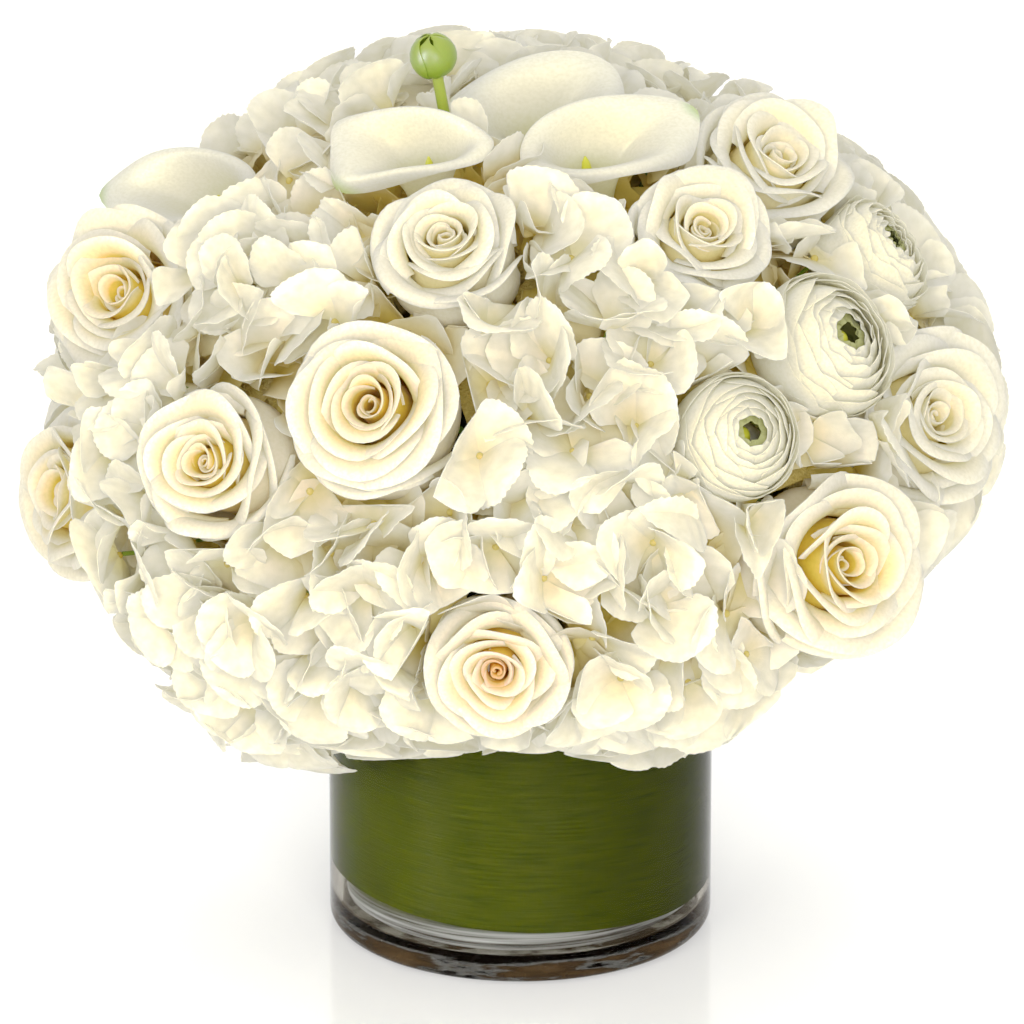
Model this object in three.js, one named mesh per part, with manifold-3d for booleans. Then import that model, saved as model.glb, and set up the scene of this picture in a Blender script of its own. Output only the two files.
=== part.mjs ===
// A domed table centrepiece of white flowers: hydrangea heads, roses, buttercup-like ranunculus, calla
// lilies and one green ranunculus bud, in a heavy round glass vase that is lined with a green leaf.
// Millimetres, +Z up. The origin is the centre of the vase's flat underside; the front is towards -Y.
//
// Every stem runs from its bloom towards one point in the wet foam inside the vase, so each bloom has a
// cone of space of its own, with its tip at that point. What would leave its cone is bent back into it,
// as petals are when flowers are packed tight.
import * as THREE from "three";
import { mergeVertices } from "three/addons/utils/BufferGeometryUtils.js";
import Module from "manifold-3d";

const wasm = await Module();
wasm.setup();

// ---- Driving dimensions ----
const GAP = 0.3; // between two pieces that touch
const SEGMENTS = 32; // round the vase, the leaf and the foam

const VASE = { radius: 75, height: 150, wall: 4, floor: 15, foot: 6, lip: 1.5 };
const LEAF = { thick: 0.7, creep: 0.9, lap: 20, bottom: 18.5, top: 145 }; // lap in degrees
const FOAM = { radius: 68.5, top: 207, bevel: 18 };

const FOCUS = new THREE.Vector3(0, 0, 165); // where the stems point
const DOME = { radius: 184, middle: 196, up: 153, down: 108 }; // the surface that the blooms make together
// Where the dome swells or is drawn in: by how much, at a direction, over a width in degrees.
const SWELLS = [
  { az: -57, el: -27, by: 24, wide: 18 },
  { az: 34, el: -29, by: 18, wide: 12 },
  { az: 68, el: -17, by: -34, wide: 20 },
];
const CLEAR = 0.4; // how far a bloom stays inside its own cone
const RIM_CLEAR = 4; // how far petals stay off the vase's rim
const HANG = 16; // degrees: how far the petals over the rim lean out from it

const SIDES = 6; // of a stem
const STEM_FROM = 25; // from the focus to the cut ends of the stems
const STEM_R = { rose: 2.8, ranunculus: 2, calla: 3.2, hydrangea: 3, bud: 1.8 };
const DEEP = { rose: 46, ranunculus: 38, calla: 42 }; // from a bloom's face down to its root
const CALYX = { tall: 9, radius: 6.5 };
const BUTTON = { base: -11, radius: 4.2, tall: 5 }; // the green heart of a ranunculus, from its face
const SPADIX = { top: -12, radius: 2.2 };
const FLORET = { radius: 29, apart: 42, root: 43, fringe: 2, tilt: 20 }; // fringe and tilt in degrees
const CORE = { inset: 26, back: 100, socket: 118 }; // back and socket are distances from the focus
const LOWEST = -34; // degrees: the lowest florets

// Each bloom: az is degrees round from the front (-Y) towards +X, el is degrees above the focus, r its
// radius, sink how deep its face lies under the dome, spin its turn about its own stem.
const ROSES = [
  { az: -20, el: 32, r: 37, sink: -4, spin: 10 },
  { az: -42, el: 22, r: 32, sink: -3, spin: 50 },
  { az: -3, el: 1, r: 30, sink: 4, spin: 80 },
  { az: 42, el: 10, r: 39, sink: -3, spin: 20 },
  { az: 68, el: 21, r: 36, sink: -5, spin: 130 },
  { az: -77, el: 34, r: 35, sink: -4, spin: 200 },
  { az: -79, el: 8, r: 37, sink: -6, spin: 250 },
  { az: 76, el: 57, r: 33, sink: -2, spin: 300 },
  { az: -15, el: 54, r: 31, sink: 0, spin: 160 },
  { az: 38, el: 53, r: 30, sink: 0, spin: 220 },
  { az: 140, el: 34, r: 37, sink: -3, spin: 40 },
  { az: -140, el: 22, r: 36, sink: -3, spin: 100 },
];
const RANUNCULI = [
  { az: 29.5, el: 27.5, r: 26, sink: -6, spin: 0 },
  { az: 50, el: 35, r: 31, sink: -6, spin: 70 },
  { az: 76, el: 41, r: 27, sink: -4, spin: 140 },
  { az: -150, el: 50, r: 28, sink: -4, spin: 210 },
];
// aim is where the open mouth of a calla faces, as az and el, and tip is the way its point hangs, in
// degrees round that aim.
const CALLAS = [
  { az: -38, el: 67, r: 28, sink: 0, aim: [-20, 45], tip: 245 },
  { az: 20, el: 86, r: 28, sink: 4, aim: [20, 50], tip: 185 },
  { az: 37, el: 70, r: 28, sink: 0, aim: [-25, 45], tip: 345 },
  { az: -95, el: 48, r: 27, sink: 0, aim: [-50, 40], tip: 195 },
];
const HYDRANGEAS = [
  { az: 6, el: 33 },
  { az: -38, el: 0 },
  { az: 22, el: -2 },
  { az: -57, el: 47 },
  { az: 102, el: 12 },
  { az: -108, el: 5 },
  { az: 168, el: 2 },
  { az: 160, el: 66 },
];
const BUD = { az: -52, el: 78, r: 7, rise: 12, ball: 9.5 };

// ---- Vectors and directions ----
const rad = THREE.MathUtils.degToRad;
const UP = new THREE.Vector3(0, 0, 1);

function direction(az, el) {
  const flat = Math.cos(rad(el));
  return new THREE.Vector3(flat * Math.sin(rad(az)), -flat * Math.cos(rad(az)), Math.sin(rad(el)));
}

// A repeatable draw between 0 and 1 for each bloom and use.
function draw(...keys) {
  const s = Math.sin(keys.reduce((sum, k, i) => sum + k * (12.9898 + 65.37 * i), 4.1)) * 43758.5453;
  return s - Math.floor(s);
}

const swells = SWELLS.map((swell) => ({ ...swell, dir: direction(swell.az, swell.el) }));

// From the focus to the dome along dir: the far root of the ellipsoid's quadratic, upper or lower half.
function reach(dir) {
  const low = FOCUS.z - DOME.middle;
  const solve = (tall) => {
    const a = (dir.x * dir.x + dir.y * dir.y) / DOME.radius ** 2 + (dir.z / tall) ** 2;
    const b = (low * dir.z) / tall ** 2;
    const c = (low / tall) ** 2 - 1;
    return (-b + Math.sqrt(b * b - a * c)) / a;
  };
  const upper = solve(DOME.up);
  const plain = low + upper * dir.z >= 0 ? upper : solve(DOME.down);
  const swell = ({ dir: middle, by, wide }) => by * Math.exp(-((dir.angleTo(middle) / rad(wide)) ** 2));
  return swells.reduce((distance, s) => distance + swell(s), plain);
}

// The ellipsoid's outward normal where dir meets it.
function outward(dir) {
  const p = dir.clone().multiplyScalar(reach(dir));
  const rise = FOCUS.z + p.z - DOME.middle;
  const tall = rise > 0 ? DOME.up : DOME.down;
  return new THREE.Vector3(p.x / DOME.radius ** 2, p.y / DOME.radius ** 2, rise / tall ** 2).normalize();
}

const at = (dir, distance) => FOCUS.clone().addScaledVector(dir, distance);

// Two directions across w, turned by spin degrees.
function across(w, spin = 0) {
  const side = Math.abs(w.z) > 0.98 ? new THREE.Vector3(1, 0, 0) : new THREE.Vector3().crossVectors(UP, w);
  const u = side.normalize().applyAxisAngle(w, rad(spin));
  return [u, new THREE.Vector3().crossVectors(w, u)];
}

// ---- Every bloom's own cone ----
function placed(kind, list) {
  return list.map((b, i) => {
    const dir = direction(b.az, b.el);
    const face = reach(dir) - (b.sink ?? 0);
    return { ...b, kind, i, name: `${kind}_${i + 1}`, dir, face, half: Math.atan((b.r ?? 0) / (face - 6)) };
  });
}
const roses = placed("rose", ROSES);
const ranunculi = placed("ranunculus", RANUNCULI);
const callas = placed("calla", CALLAS);
const heads = placed("hydrangea", HYDRANGEAS);
const [bud] = placed("bud", [BUD]);
const focal = [...roses, ...ranunculi, ...callas, bud];

// Walls are half-spaces: a point p is inside where normal . (p - focus) <= level.
function coneWall(axis, other, half) {
  const apart = axis.angleTo(other);
  const towards = other.clone().addScaledVector(axis, -axis.dot(other)).normalize();
  const turn = apart - half;
  const normal = towards.multiplyScalar(Math.cos(turn)).addScaledVector(axis, -Math.sin(turn));
  return { normal, level: -CLEAR };
}

function midWall(mine, theirs) {
  const n = theirs.dir.clone().divideScalar(Math.cos(theirs.half));
  return { normal: n.addScaledVector(mine.dir, -1 / Math.cos(mine.half)).normalize(), level: -CLEAR };
}

// Petals that hang over the vase's rim keep outside a cone that opens downwards from it.
function offRim(p, dir) {
  const flat = new THREE.Vector3(dir.x, dir.y, 0).normalize();
  const inwards = flat.clone().multiplyScalar(-Math.cos(rad(HANG))).addScaledVector(UP, -Math.sin(rad(HANG)));
  const rim = flat.multiplyScalar(VASE.radius + RIM_CLEAR).setZ(VASE.height + RIM_CLEAR);
  const over = inwards.dot(p) - inwards.dot(rim);
  return over > 0 ? p.addScaledVector(inwards, -over) : p;
}

function rimKeep() {
  const [top, deep, sides] = [VASE.height + RIM_CLEAR, 110, 18];
  const round = 1 / Math.cos(Math.PI / sides);
  const wide = VASE.radius + RIM_CLEAR;
  return new THREE.CylinderGeometry(wide * round, (wide + deep * Math.tan(rad(HANG))) * round, deep, sides)
    .rotateX(Math.PI / 2)
    .translate(0, 0, top - deep / 2);
}

// Bends p towards the axis so that it stays within the walls, and within half of the axis if that is given.
// Near the edge it gives way softly, and what is pressed in rises a little.
const SOFT_FROM = 0.8;
const PRESS = 1.04; // blooms may swell this much past their own radius
function bendClear(p, axis, walls, half = 0) {
  const v = p.clone().sub(FOCUS);
  const along = axis.clone().multiplyScalar(v.dot(axis));
  const off = v.clone().sub(along);
  let filled = half ? off.length() / (along.length() * Math.tan(half) - CLEAR) : 0;
  for (const { normal, level } of walls) {
    const room = level - normal.dot(along);
    const used = normal.dot(off);
    if (used > 0) filled = Math.max(filled, used / Math.max(room, 1e-3));
  }
  if (filled > SOFT_FROM) {
    const soft = 1 - SOFT_FROM;
    const kept = SOFT_FROM + soft * (1 - Math.exp((SOFT_FROM - filled) / soft));
    off.multiplyScalar(kept / filled);
    along.multiplyScalar(1 + 0.05 * Math.min(filled - kept, 1));
  }
  return FOCUS.clone().add(along).add(off);
}

// ---- Closed bodies ----
function geometryOf(points, faces) {
  return new THREE.BufferGeometry()
    .setAttribute("position", new THREE.Float32BufferAttribute(points.flatMap((p) => [p.x, p.y, p.z]), 3))
    .setIndex(faces.flat());
}

// Rows of points, each row once round. With ring true the last row joins the first, otherwise both ends
// are capped.
function rowsBody(rows, ring) {
  const n = rows[0].length;
  const points = rows.flat();
  const faces = [];
  const last = ring ? rows.length : rows.length - 1;
  for (let i = 0; i < last; i++) {
    const low = i * n;
    const high = ((i + 1) % rows.length) * n;
    for (let j = 0; j < n; j++) {
      const k = (j + 1) % n;
      faces.push([low + j, low + k, high + k], [low + j, high + k, high + j]);
    }
  }
  if (!ring) {
    const middle = (row) => row.reduce((s, p) => s.add(p), new THREE.Vector3()).divideScalar(n);
    const [a, b] = [points.push(middle(rows[0])) - 1, points.push(middle(rows.at(-1))) - 1];
    const top = (rows.length - 1) * n;
    for (let j = 0; j < n; j++) {
      const k = (j + 1) % n;
      faces.push([a, k, j], [b, top + j, top + k]);
    }
  }
  return geometryOf(points, faces);
}

// A sheet: grid of middle points, thickened along the normals that are given with them.
function sheetBody(grid, normals, thick) {
  const [rows, cols] = [grid.length, grid[0].length];
  const side = (sign) => grid.flatMap((row, i) =>
    row.map((p, j) => p.clone().addScaledVector(normals[i][j], (sign * thick) / 2)));
  const points = [...side(1), ...side(-1)];
  const under = rows * cols;
  const faces = [];
  const quad = (a, b, c, d) => faces.push([a, b, c], [a, c, d]);
  for (let i = 0; i + 1 < rows; i++) {
    for (let j = 0; j + 1 < cols; j++) {
      const a = i * cols + j;
      const [b, c, d] = [a + 1, a + cols + 1, a + cols];
      faces.push([a, b, c], [a, c, d]);
      faces.push([under + a, under + c, under + b], [under + a, under + d, under + c]);
    }
  }
  for (let j = 0; j + 1 < cols; j++) {
    quad(j + 1, j, under + j, under + j + 1);
    const e = (rows - 1) * cols + j;
    quad(e, e + 1, under + e + 1, under + e);
  }
  for (let i = 0; i + 1 < rows; i++) {
    const a = i * cols;
    quad(a, a + cols, under + a + cols, under + a);
    const e = a + cols - 1;
    quad(e + cols, e, under + e, under + e + cols);
  }
  return geometryOf(points, faces);
}

// ---- Joining and cutting ----
function solid(geometry) {
  const bare = geometry.clone();
  for (const name of Object.keys(bare.attributes)) if (name !== "position") bare.deleteAttribute(name);
  const merged = mergeVertices(bare, 1e-4);
  const vertProperties = merged.attributes.position.array;
  const make = (triVerts) => new wasm.Manifold(new wasm.Mesh({ numProp: 3, vertProperties, triVerts }));
  const triangles = Uint32Array.from(merged.index.array);
  const made = make(triangles);
  return made.volume() > 0 ? made : make(triangles.reverse());
}

// The biggest body of a solid, as a three.js geometry; loose scraps are dropped.
const FINE = 0.05;
function geometryFrom(made) {
  const [body] = made.simplify(FINE).decompose().sort((a, b) => b.volume() - a.volume());
  const { numVert, numProp, vertProperties, triVerts } = body.getMesh();
  const xyz = new Float32Array(numVert * 3);
  for (let i = 0; i < numVert; i++) xyz.set(vertProperties.subarray(i * numProp, i * numProp + 3), i * 3);
  return new THREE.BufferGeometry()
    .setAttribute("position", new THREE.BufferAttribute(xyz, 3))
    .setIndex(new THREE.BufferAttribute(triVerts, 1));
}

// ---- The vase, its leaf and its foam ----
function turned(profile) {
  const outline = profile.map(([x, y]) => new THREE.Vector2(x, y));
  return new THREE.LatheGeometry(outline, SEGMENTS).rotateX(Math.PI / 2);
}

function vaseGeometry() {
  const { radius, height, wall, floor, foot, lip } = VASE;
  const inner = radius - wall;
  return turned([
    [0, 0], [radius - foot, 0], [radius - foot * 0.3, foot * 0.3], [radius, foot],
    [radius, height - lip], [radius - lip, height], [inner + lip, height], [inner, height - lip],
    [inner, floor + 3], [inner - 3, floor], [0, floor],
  ]);
}

// One long leaf, stood on its side and rolled once round inside the glass, its end lapped over its start.
function leafGeometry() {
  const steps = SEGMENTS + Math.round(LEAF.lap / (360 / SEGMENTS));
  const start = VASE.radius - VASE.wall - GAP;
  const edge = (inset) => Array.from({ length: steps + 1 }, (_, i) => {
    const r = start - inset - (LEAF.creep * i) / SEGMENTS;
    const a = (2 * Math.PI * i) / SEGMENTS;
    return new THREE.Vector2(r * Math.sin(a), r * Math.cos(a));
  });
  const outline = new THREE.Shape([...edge(0), ...edge(LEAF.thick).reverse()]);
  const depth = LEAF.top - LEAF.bottom;
  return new THREE.ExtrudeGeometry(outline, { depth, bevelEnabled: false, curveSegments: 1 })
    .translate(0, 0, LEAF.bottom);
}

function foamGeometry(holes) {
  const { radius, top, bevel } = FOAM;
  const foot = VASE.floor + GAP;
  const block = turned([
    [0, foot], [radius - 4, foot], [radius, foot + 4], [radius, top - bevel], [radius - bevel, top], [0, top],
  ]);
  return geometryFrom(holes.reduce((foam, hole) => foam.subtract(solid(hole)), solid(block)));
}

// ---- Stems ----
// A straight stem along dir: its stations are distances from the focus, with the radius at each.
function stalk(dir, stations) {
  const [u, v] = across(dir);
  return rowsBody(stations.map(([distance, wide]) => Array.from({ length: SIDES }, (_, j) => {
    const turn = (2 * Math.PI * j) / SIDES;
    const p = at(dir, distance).addScaledVector(u, wide * Math.cos(turn));
    return p.addScaledVector(v, wide * Math.sin(turn));
  })), false);
}

// What tops each kind of stem, as more stations: a calyx, the green heart of a ranunculus, or a spadix.
function stemTop(b) {
  const r = STEM_R[b.kind];
  if (b.kind === "hydrangea") return [[CORE.socket, r]];
  if (b.kind === "bud") return [[b.face + b.rise, r]];
  const root = b.face - DEEP[b.kind] - GAP;
  const heart = b.face + BUTTON.base;
  return {
    rose: [[root - CALYX.tall, r], [root, CALYX.radius]],
    ranunculus: [[heart, r], [heart, BUTTON.radius], [heart + BUTTON.tall, BUTTON.radius * 0.6]],
    calla: [[root, r], [root, SPADIX.radius], [b.face + SPADIX.top, SPADIX.radius * 0.8]],
  }[b.kind];
}

const stemGeometry = (b) => stalk(b.dir, [[STEM_FROM, STEM_R[b.kind]], ...stemTop(b)]);
const holeGeometry = (b) => stalk(b.dir, [STEM_FROM - GAP, CORE.back].map((d) => [d, STEM_R[b.kind] + GAP]));

function budGeometry(b) {
  const centre = at(b.dir, b.face + b.rise + b.ball * 0.7);
  const ball = new THREE.SphereGeometry(b.ball, 8, 6).translate(...centre.toArray());
  return geometryFrom(solid(stemGeometry(b)).add(solid(ball)));
}

// ---- Ringed blooms: roses and ranunculi ----
// One row of points round a bloom. lap makes each petal of the row start further in than it ends, so that
// it tucks behind its neighbour, and dip lowers its two sides, which leaves its edge domed.
const COLUMNS = 12;
function petalRow(bloom, [radius, height], ring = { petals: 1, lap: 0, dip: 0, seed: 0 }, share = 0) {
  const [u, v] = across(bloom.dir, bloom.spin);
  const columns = COLUMNS / ring.petals;
  return Array.from({ length: COLUMNS }, (_, j) => {
    const turn = (2 * Math.PI * (j + (ring.shift ?? 0))) / COLUMNS;
    const petal = Math.floor(j / columns);
    const place = ((j % columns) + 0.5) / columns; // across its petal
    const swell = 1 + share * (ring.lap * (place - 0.5) + 0.08 * (draw(ring.seed, petal, bloom.i) - 0.5));
    const fall = share * (ring.dip * (2 * place - 1) ** 2 - 4 * (draw(petal, ring.seed, bloom.i) - 0.5));
    const p = at(bloom.dir, bloom.face + height - fall);
    p.addScaledVector(u, Math.cos(turn) * radius * swell);
    p.addScaledVector(v, Math.sin(turn) * radius * swell);
    return bendClear(p, bloom.dir, bloom.walls, bloom.half * PRESS);
  });
}

// Rings of petals one inside the other: up the outside of each to its edge, and down its inside to the next.
function ringRows(bloom, rings, thick) {
  return rings.flatMap((ring) => [
    ...(ring.sides ?? []).map((side) => petalRow(bloom, side, ring, 0.5)),
    petalRow(bloom, ring.edge, ring, 1),
    petalRow(bloom, [ring.edge[0] - thick, ring.edge[1]], ring, 1),
    petalRow(bloom, ring.valley),
  ]);
}

function roseGeometry(rose) {
  const r = rose.r;
  const rings = [
    { petals: 4, lap: 0.16, dip: 6, seed: 1, sides: [[r * 0.88, -22]],
      edge: [r * 1.02, -4], valley: [r * 0.6, -17] },
    { petals: 4, lap: 0.2, dip: 4, seed: 2, shift: 1.5, edge: [r * 0.74, 0], valley: [r * 0.34, -12] },
    { petals: 3, lap: 0.3, dip: 3, seed: 3, shift: 0.5, edge: [r * 0.44, 3], valley: [r * 0.17, -5] },
  ];
  const [root, heart] = [[6, -DEEP.rose], [r * 0.13, 3]];
  return rowsBody([petalRow(rose, root), ...ringRows(rose, rings, 1.2), petalRow(rose, heart)], false);
}

// A ranunculus is bored for its stem, whose green heart stands in the middle of the petals.
function ranunculusGeometry(flower) {
  const r = flower.r;
  const bore = STEM_R.ranunculus + GAP;
  const floor = BUTTON.base - GAP;
  const rings = [
    { petals: 6, lap: 0.12, dip: 3, seed: 4, sides: [[r * 0.8, -28], [r, -16]],
      edge: [r * 0.9, -4], valley: [r * 0.72, -13] },
    { petals: 6, lap: 0.14, dip: 2, seed: 5, shift: 1, edge: [r * 0.68, 0], valley: [r * 0.46, -9] },
    { petals: 6, lap: 0.14, dip: 2, seed: 6, edge: [r * 0.44, 0], valley: [r * 0.24, floor] },
  ];
  const rows = [petalRow(flower, [6, -DEEP.ranunculus]), ...ringRows(flower, rings, 1)];
  rows.push(petalRow(flower, [bore, floor]), petalRow(flower, [bore, -DEEP.ranunculus]));
  return rowsBody(rows, true);
}

// ---- Calla lilies ----
// A spathe: one sheet rolled into a funnel about a bent axis, open at the front, drawn out to a point.
const THROAT = 4.4;
const MOUTH = 27;
function callaSpathe(calla) {
  const aim = direction(...calla.aim);
  const root = at(calla.dir, calla.face - DEEP.calla);
  const lean = aim.clone().addScaledVector(calla.dir, -aim.dot(calla.dir)).normalize();
  const bend = root.clone().addScaledVector(calla.dir, 26).addScaledVector(lean, -8);
  const mouth = root.clone().addScaledVector(calla.dir, DEEP.calla - 2).addScaledVector(lean, 4);
  const axis = new THREE.QuadraticBezierCurve3(root, bend, mouth);
  const [tip] = across(aim, calla.tip);
  const [rows, cols] = [5, 9];
  const grid = [];
  for (let i = 0; i < rows; i++) {
    const s = i / (rows - 1);
    const centre = axis.getPoint(s);
    const along = calla.dir.clone().lerp(aim, s * s).normalize();
    const u = tip.clone().addScaledVector(along, -tip.dot(along)).normalize();
    const v = new THREE.Vector3().crossVectors(along, u);
    const radius = THROAT + (MOUTH - THROAT) * s ** 1.6;
    const wrap = rad(THREE.MathUtils.lerp(160, 140, s));
    grid.push(Array.from({ length: cols }, (_, j) => {
      const turn = wrap * ((2 * j) / (cols - 1) - 1);
      const point = Math.max(0, Math.cos(turn)) ** 4; // where the spathe is drawn out
      const flare = s ** 3;
      const p = centre.clone()
        .addScaledVector(u, Math.cos(turn) * (radius + 10 * flare * point))
        .addScaledVector(v, Math.sin(turn) * radius)
        .addScaledVector(along, flare * (6 * point - 5 * (1 - Math.cos(turn))));
      return bendClear(p, calla.dir, calla.walls, calla.half * PRESS);
    }));
  }
  return grid;
}

// Normals of a grid of points, by differences.
function gridNormals(grid) {
  const [rows, cols] = [grid.length, grid[0].length];
  return grid.map((row, i) => row.map((_, j) => {
    const du = grid[i][Math.min(j + 1, cols - 1)].clone().sub(grid[i][Math.max(j - 1, 0)]);
    const dv = grid[Math.min(i + 1, rows - 1)][j].clone().sub(grid[Math.max(i - 1, 0)][j]);
    return du.cross(dv).normalize();
  }));
}

function callaGeometry(calla) {
  const grid = callaSpathe(calla);
  return geometryFrom(solid(sheetBody(grid, gridNormals(grid), 1.2)));
}

// ---- Hydrangea heads ----
const headOf = (dir) => heads.reduce((best, h) => (dir.dot(h.dir) > dir.dot(best.dir) ? h : best));
const headWalls = (head) => heads.filter((h) => h !== head).map((h) => midWall(head, h));

// Where florets stand: an even lattice by the golden angle, thinned until they are far enough apart, which
// also fills the narrow places between the larger blooms.
function floretSpots() {
  const count = 3000;
  const golden = Math.PI * (3 - Math.sqrt(5));
  const spots = [];
  for (let k = 0; k < count; k++) {
    const z = 1 - (2 * k + 1) / count;
    const flat = Math.sqrt(1 - z * z);
    const dir = new THREE.Vector3(flat * Math.cos(golden * k), flat * Math.sin(golden * k), z);
    const head = headOf(dir);
    const clear = z > Math.sin(rad(LOWEST))
      && focal.every((f) => f.dir.angleTo(dir) > f.half + rad(FLORET.fringe))
      && headWalls(head).every(({ normal }) => normal.dot(dir) < -Math.sin(rad(FLORET.fringe / 2)))
      && spots.every((s) => s.dir.angleTo(dir) > FLORET.apart / reach(dir));
    if (clear) spots.push({ dir, k, head });
  }
  return spots;
}

// A floret: four broad lobes round a dimple, over a stalk that narrows to its root. It leans and turns by
// chance.
function floretGeometry(dir, k, walls) {
  const distance = reach(dir) - 2 - 7 * draw(k, 1);
  const tilt = rad(FLORET.tilt) * draw(k, 2);
  const [lean] = across(outward(dir), 360 * draw(k, 3));
  const w = outward(dir).multiplyScalar(Math.cos(tilt)).addScaledVector(lean, Math.sin(tilt));
  const [u, v] = across(w, 90 * draw(k, 4));
  const centre = at(dir, distance);
  const root = offRim(at(dir, distance - FLORET.root), dir);
  const put = (degrees, out, up) => offRim(bendClear(
    centre.clone()
      .addScaledVector(u, Math.cos(rad(degrees)) * out * FLORET.radius)
      .addScaledVector(v, Math.sin(rad(degrees)) * out * FLORET.radius)
      .addScaledVector(w, up),
    dir, walls), dir);
  const points = [put(0, 0, -2.5), root];
  const faces = [];
  const lobes = 4;
  const each = 4; // a notch, the two shoulders of each lobe, and the stalk under the notch
  for (let n = 0; n < lobes; n++) {
    const turn = (360 / lobes) * n;
    const cup = 5 * (draw(k, n, 5) - 0.4);
    points.push(put(turn - 45, 0.38, -3.5), put(turn - 24, 0.98, cup), put(turn + 24, 0.98, cup));
    points.push(put(turn - 45, 0.2, -8));
    const [notch, left, right, stalk] = [0, 1, 2, 3].map((m) => 2 + n * each + m);
    const next = 2 + ((n + 1) % lobes) * each;
    faces.push([0, notch, left], [0, left, right], [0, right, next]);
    faces.push([left, notch, stalk], [right, left, stalk], [next, right, next + 3], [right, stalk, next + 3]);
    faces.push([next + 3, stalk, 1]);
  }
  return geometryOf(points, faces);
}

// The space that a bloom takes up in a head's core: its cone, and the narrow hole of its stem below that.
const ROUND = 1.15; // a stalk's corners lie this much further out than its flats
function socket(f) {
  const stem = STEM_R[f.kind] + GAP;
  const wide = (distance) => (distance * Math.tan(f.half) + CLEAR) * ROUND;
  const foot = f.face - (DEEP[f.kind] ?? 0) - CALYX.tall - 3;
  const past = 230;
  return stalk(f.dir, [[60, stem], [foot - 1, stem], [foot, wide(foot)], [past, wide(past)]]);
}

// The tight mass of flower stalks under the florets.
function headCore(head, walls) {
  const dome = new THREE.IcosahedronGeometry(1, 1);
  const spot = dome.getAttribute("position");
  for (let i = 0; i < spot.count; i++) {
    const dir = new THREE.Vector3().fromBufferAttribute(spot, i).normalize();
    spot.setXYZ(i, ...at(dir, reach(dir) - CORE.inset).toArray());
  }
  let core = solid(dome);
  for (const { normal, level } of walls) {
    core = core.trimByPlane(normal.clone().negate().toArray(), -(level + normal.dot(FOCUS)));
  }
  const hollow = new THREE.IcosahedronGeometry(CORE.back, 0).translate(...FOCUS.toArray());
  const stem = stalk(head.dir, [60, CORE.socket + GAP].map((d) => [d, STEM_R.hydrangea + GAP]));
  const near = focal.filter((f) => f.dir.angleTo(head.dir) < rad(75)).map(socket);
  return [hollow, rimKeep(), stem, ...near].reduce((rest, cutter) => rest.subtract(solid(cutter)), core);
}

function hydrangeaGeometry(head, florets) {
  const between = headWalls(head);
  let body = headCore(head, between);
  for (const { dir, k } of florets) {
    const near = focal.filter((f) => f.dir.angleTo(dir) < f.half + rad(16));
    const walls = [...between, ...near.map((f) => coneWall(dir, f.dir, f.half * PRESS))];
    body = body.add(solid(floretGeometry(dir, k, walls)));
  }
  return geometryFrom(body);
}

// ---- Putting the piece together ----
const FINISH = {
  rose: { color: "#f3ecd6", roughness: 0.62 },
  ranunculus: { color: "#f4f1e2", roughness: 0.6 },
  calla: { color: "#f3f0e2", roughness: 0.42 },
  hydrangea: { color: "#f2f0e6", roughness: 0.7 },
  stem: { color: "#7d9a3c", roughness: 0.55 },
  bud: { color: "#86a62c", roughness: 0.5 },
  foam: { color: "#3f6b3a", roughness: 0.95 },
  leaf: { color: "#3c5a12", roughness: 0.4 },
  glass: { color: "#e9efec", roughness: 0.05, transparent: true, opacity: 0.35 },
};
const centrepiece = new THREE.Group();

function add(name, geometry, finish) {
  const mesh = new THREE.Mesh(geometry, new THREE.MeshStandardMaterial({ ...FINISH[finish], metalness: 0 }));
  mesh.name = name;
  centrepiece.add(mesh);
}

for (const bloom of focal) {
  bloom.walls = focal
    .filter((other) => other !== bloom && other.dir.angleTo(bloom.dir) < (other.half + bloom.half) * 1.3)
    .map((other) => midWall(bloom, other));
}
const spots = floretSpots();

add("vase", vaseGeometry(), "glass");
add("vase_leaf", leafGeometry(), "leaf");
add("foam", foamGeometry([...focal, ...heads].map(holeGeometry)), "foam");
for (const rose of roses) add(rose.name, roseGeometry(rose), "rose");
for (const flower of ranunculi) add(flower.name, ranunculusGeometry(flower), "ranunculus");
for (const calla of callas) add(calla.name, callaGeometry(calla), "calla");
for (const head of heads) {
  add(head.name, hydrangeaGeometry(head, spots.filter((s) => s.head === head)), "hydrangea");
}
for (const b of [...roses, ...ranunculi, ...callas, ...heads]) add(`${b.name}_stem`, stemGeometry(b), "stem");
add("ranunculus_bud", budGeometry(bud), "bud");

export default centrepiece;
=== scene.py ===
from math import acos, atan, atan2, cos, hypot, pi, radians, sin, sqrt, tan

import bmesh
import bpy
import numpy as np
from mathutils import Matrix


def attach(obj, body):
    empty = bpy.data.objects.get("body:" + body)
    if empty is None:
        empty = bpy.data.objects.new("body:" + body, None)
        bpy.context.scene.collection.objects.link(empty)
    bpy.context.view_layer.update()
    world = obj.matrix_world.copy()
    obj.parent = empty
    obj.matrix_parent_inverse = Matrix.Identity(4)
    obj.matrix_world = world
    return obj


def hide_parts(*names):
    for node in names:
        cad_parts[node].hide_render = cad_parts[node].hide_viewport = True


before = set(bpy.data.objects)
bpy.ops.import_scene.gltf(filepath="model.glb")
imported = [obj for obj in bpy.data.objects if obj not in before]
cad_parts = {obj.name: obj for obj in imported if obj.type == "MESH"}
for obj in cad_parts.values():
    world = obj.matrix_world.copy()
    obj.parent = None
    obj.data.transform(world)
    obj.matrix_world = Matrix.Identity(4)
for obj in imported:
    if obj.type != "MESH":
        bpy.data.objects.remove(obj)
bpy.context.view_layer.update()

MM = 0.001  # lengths in this file are in millimetres until a mesh is made

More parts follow.
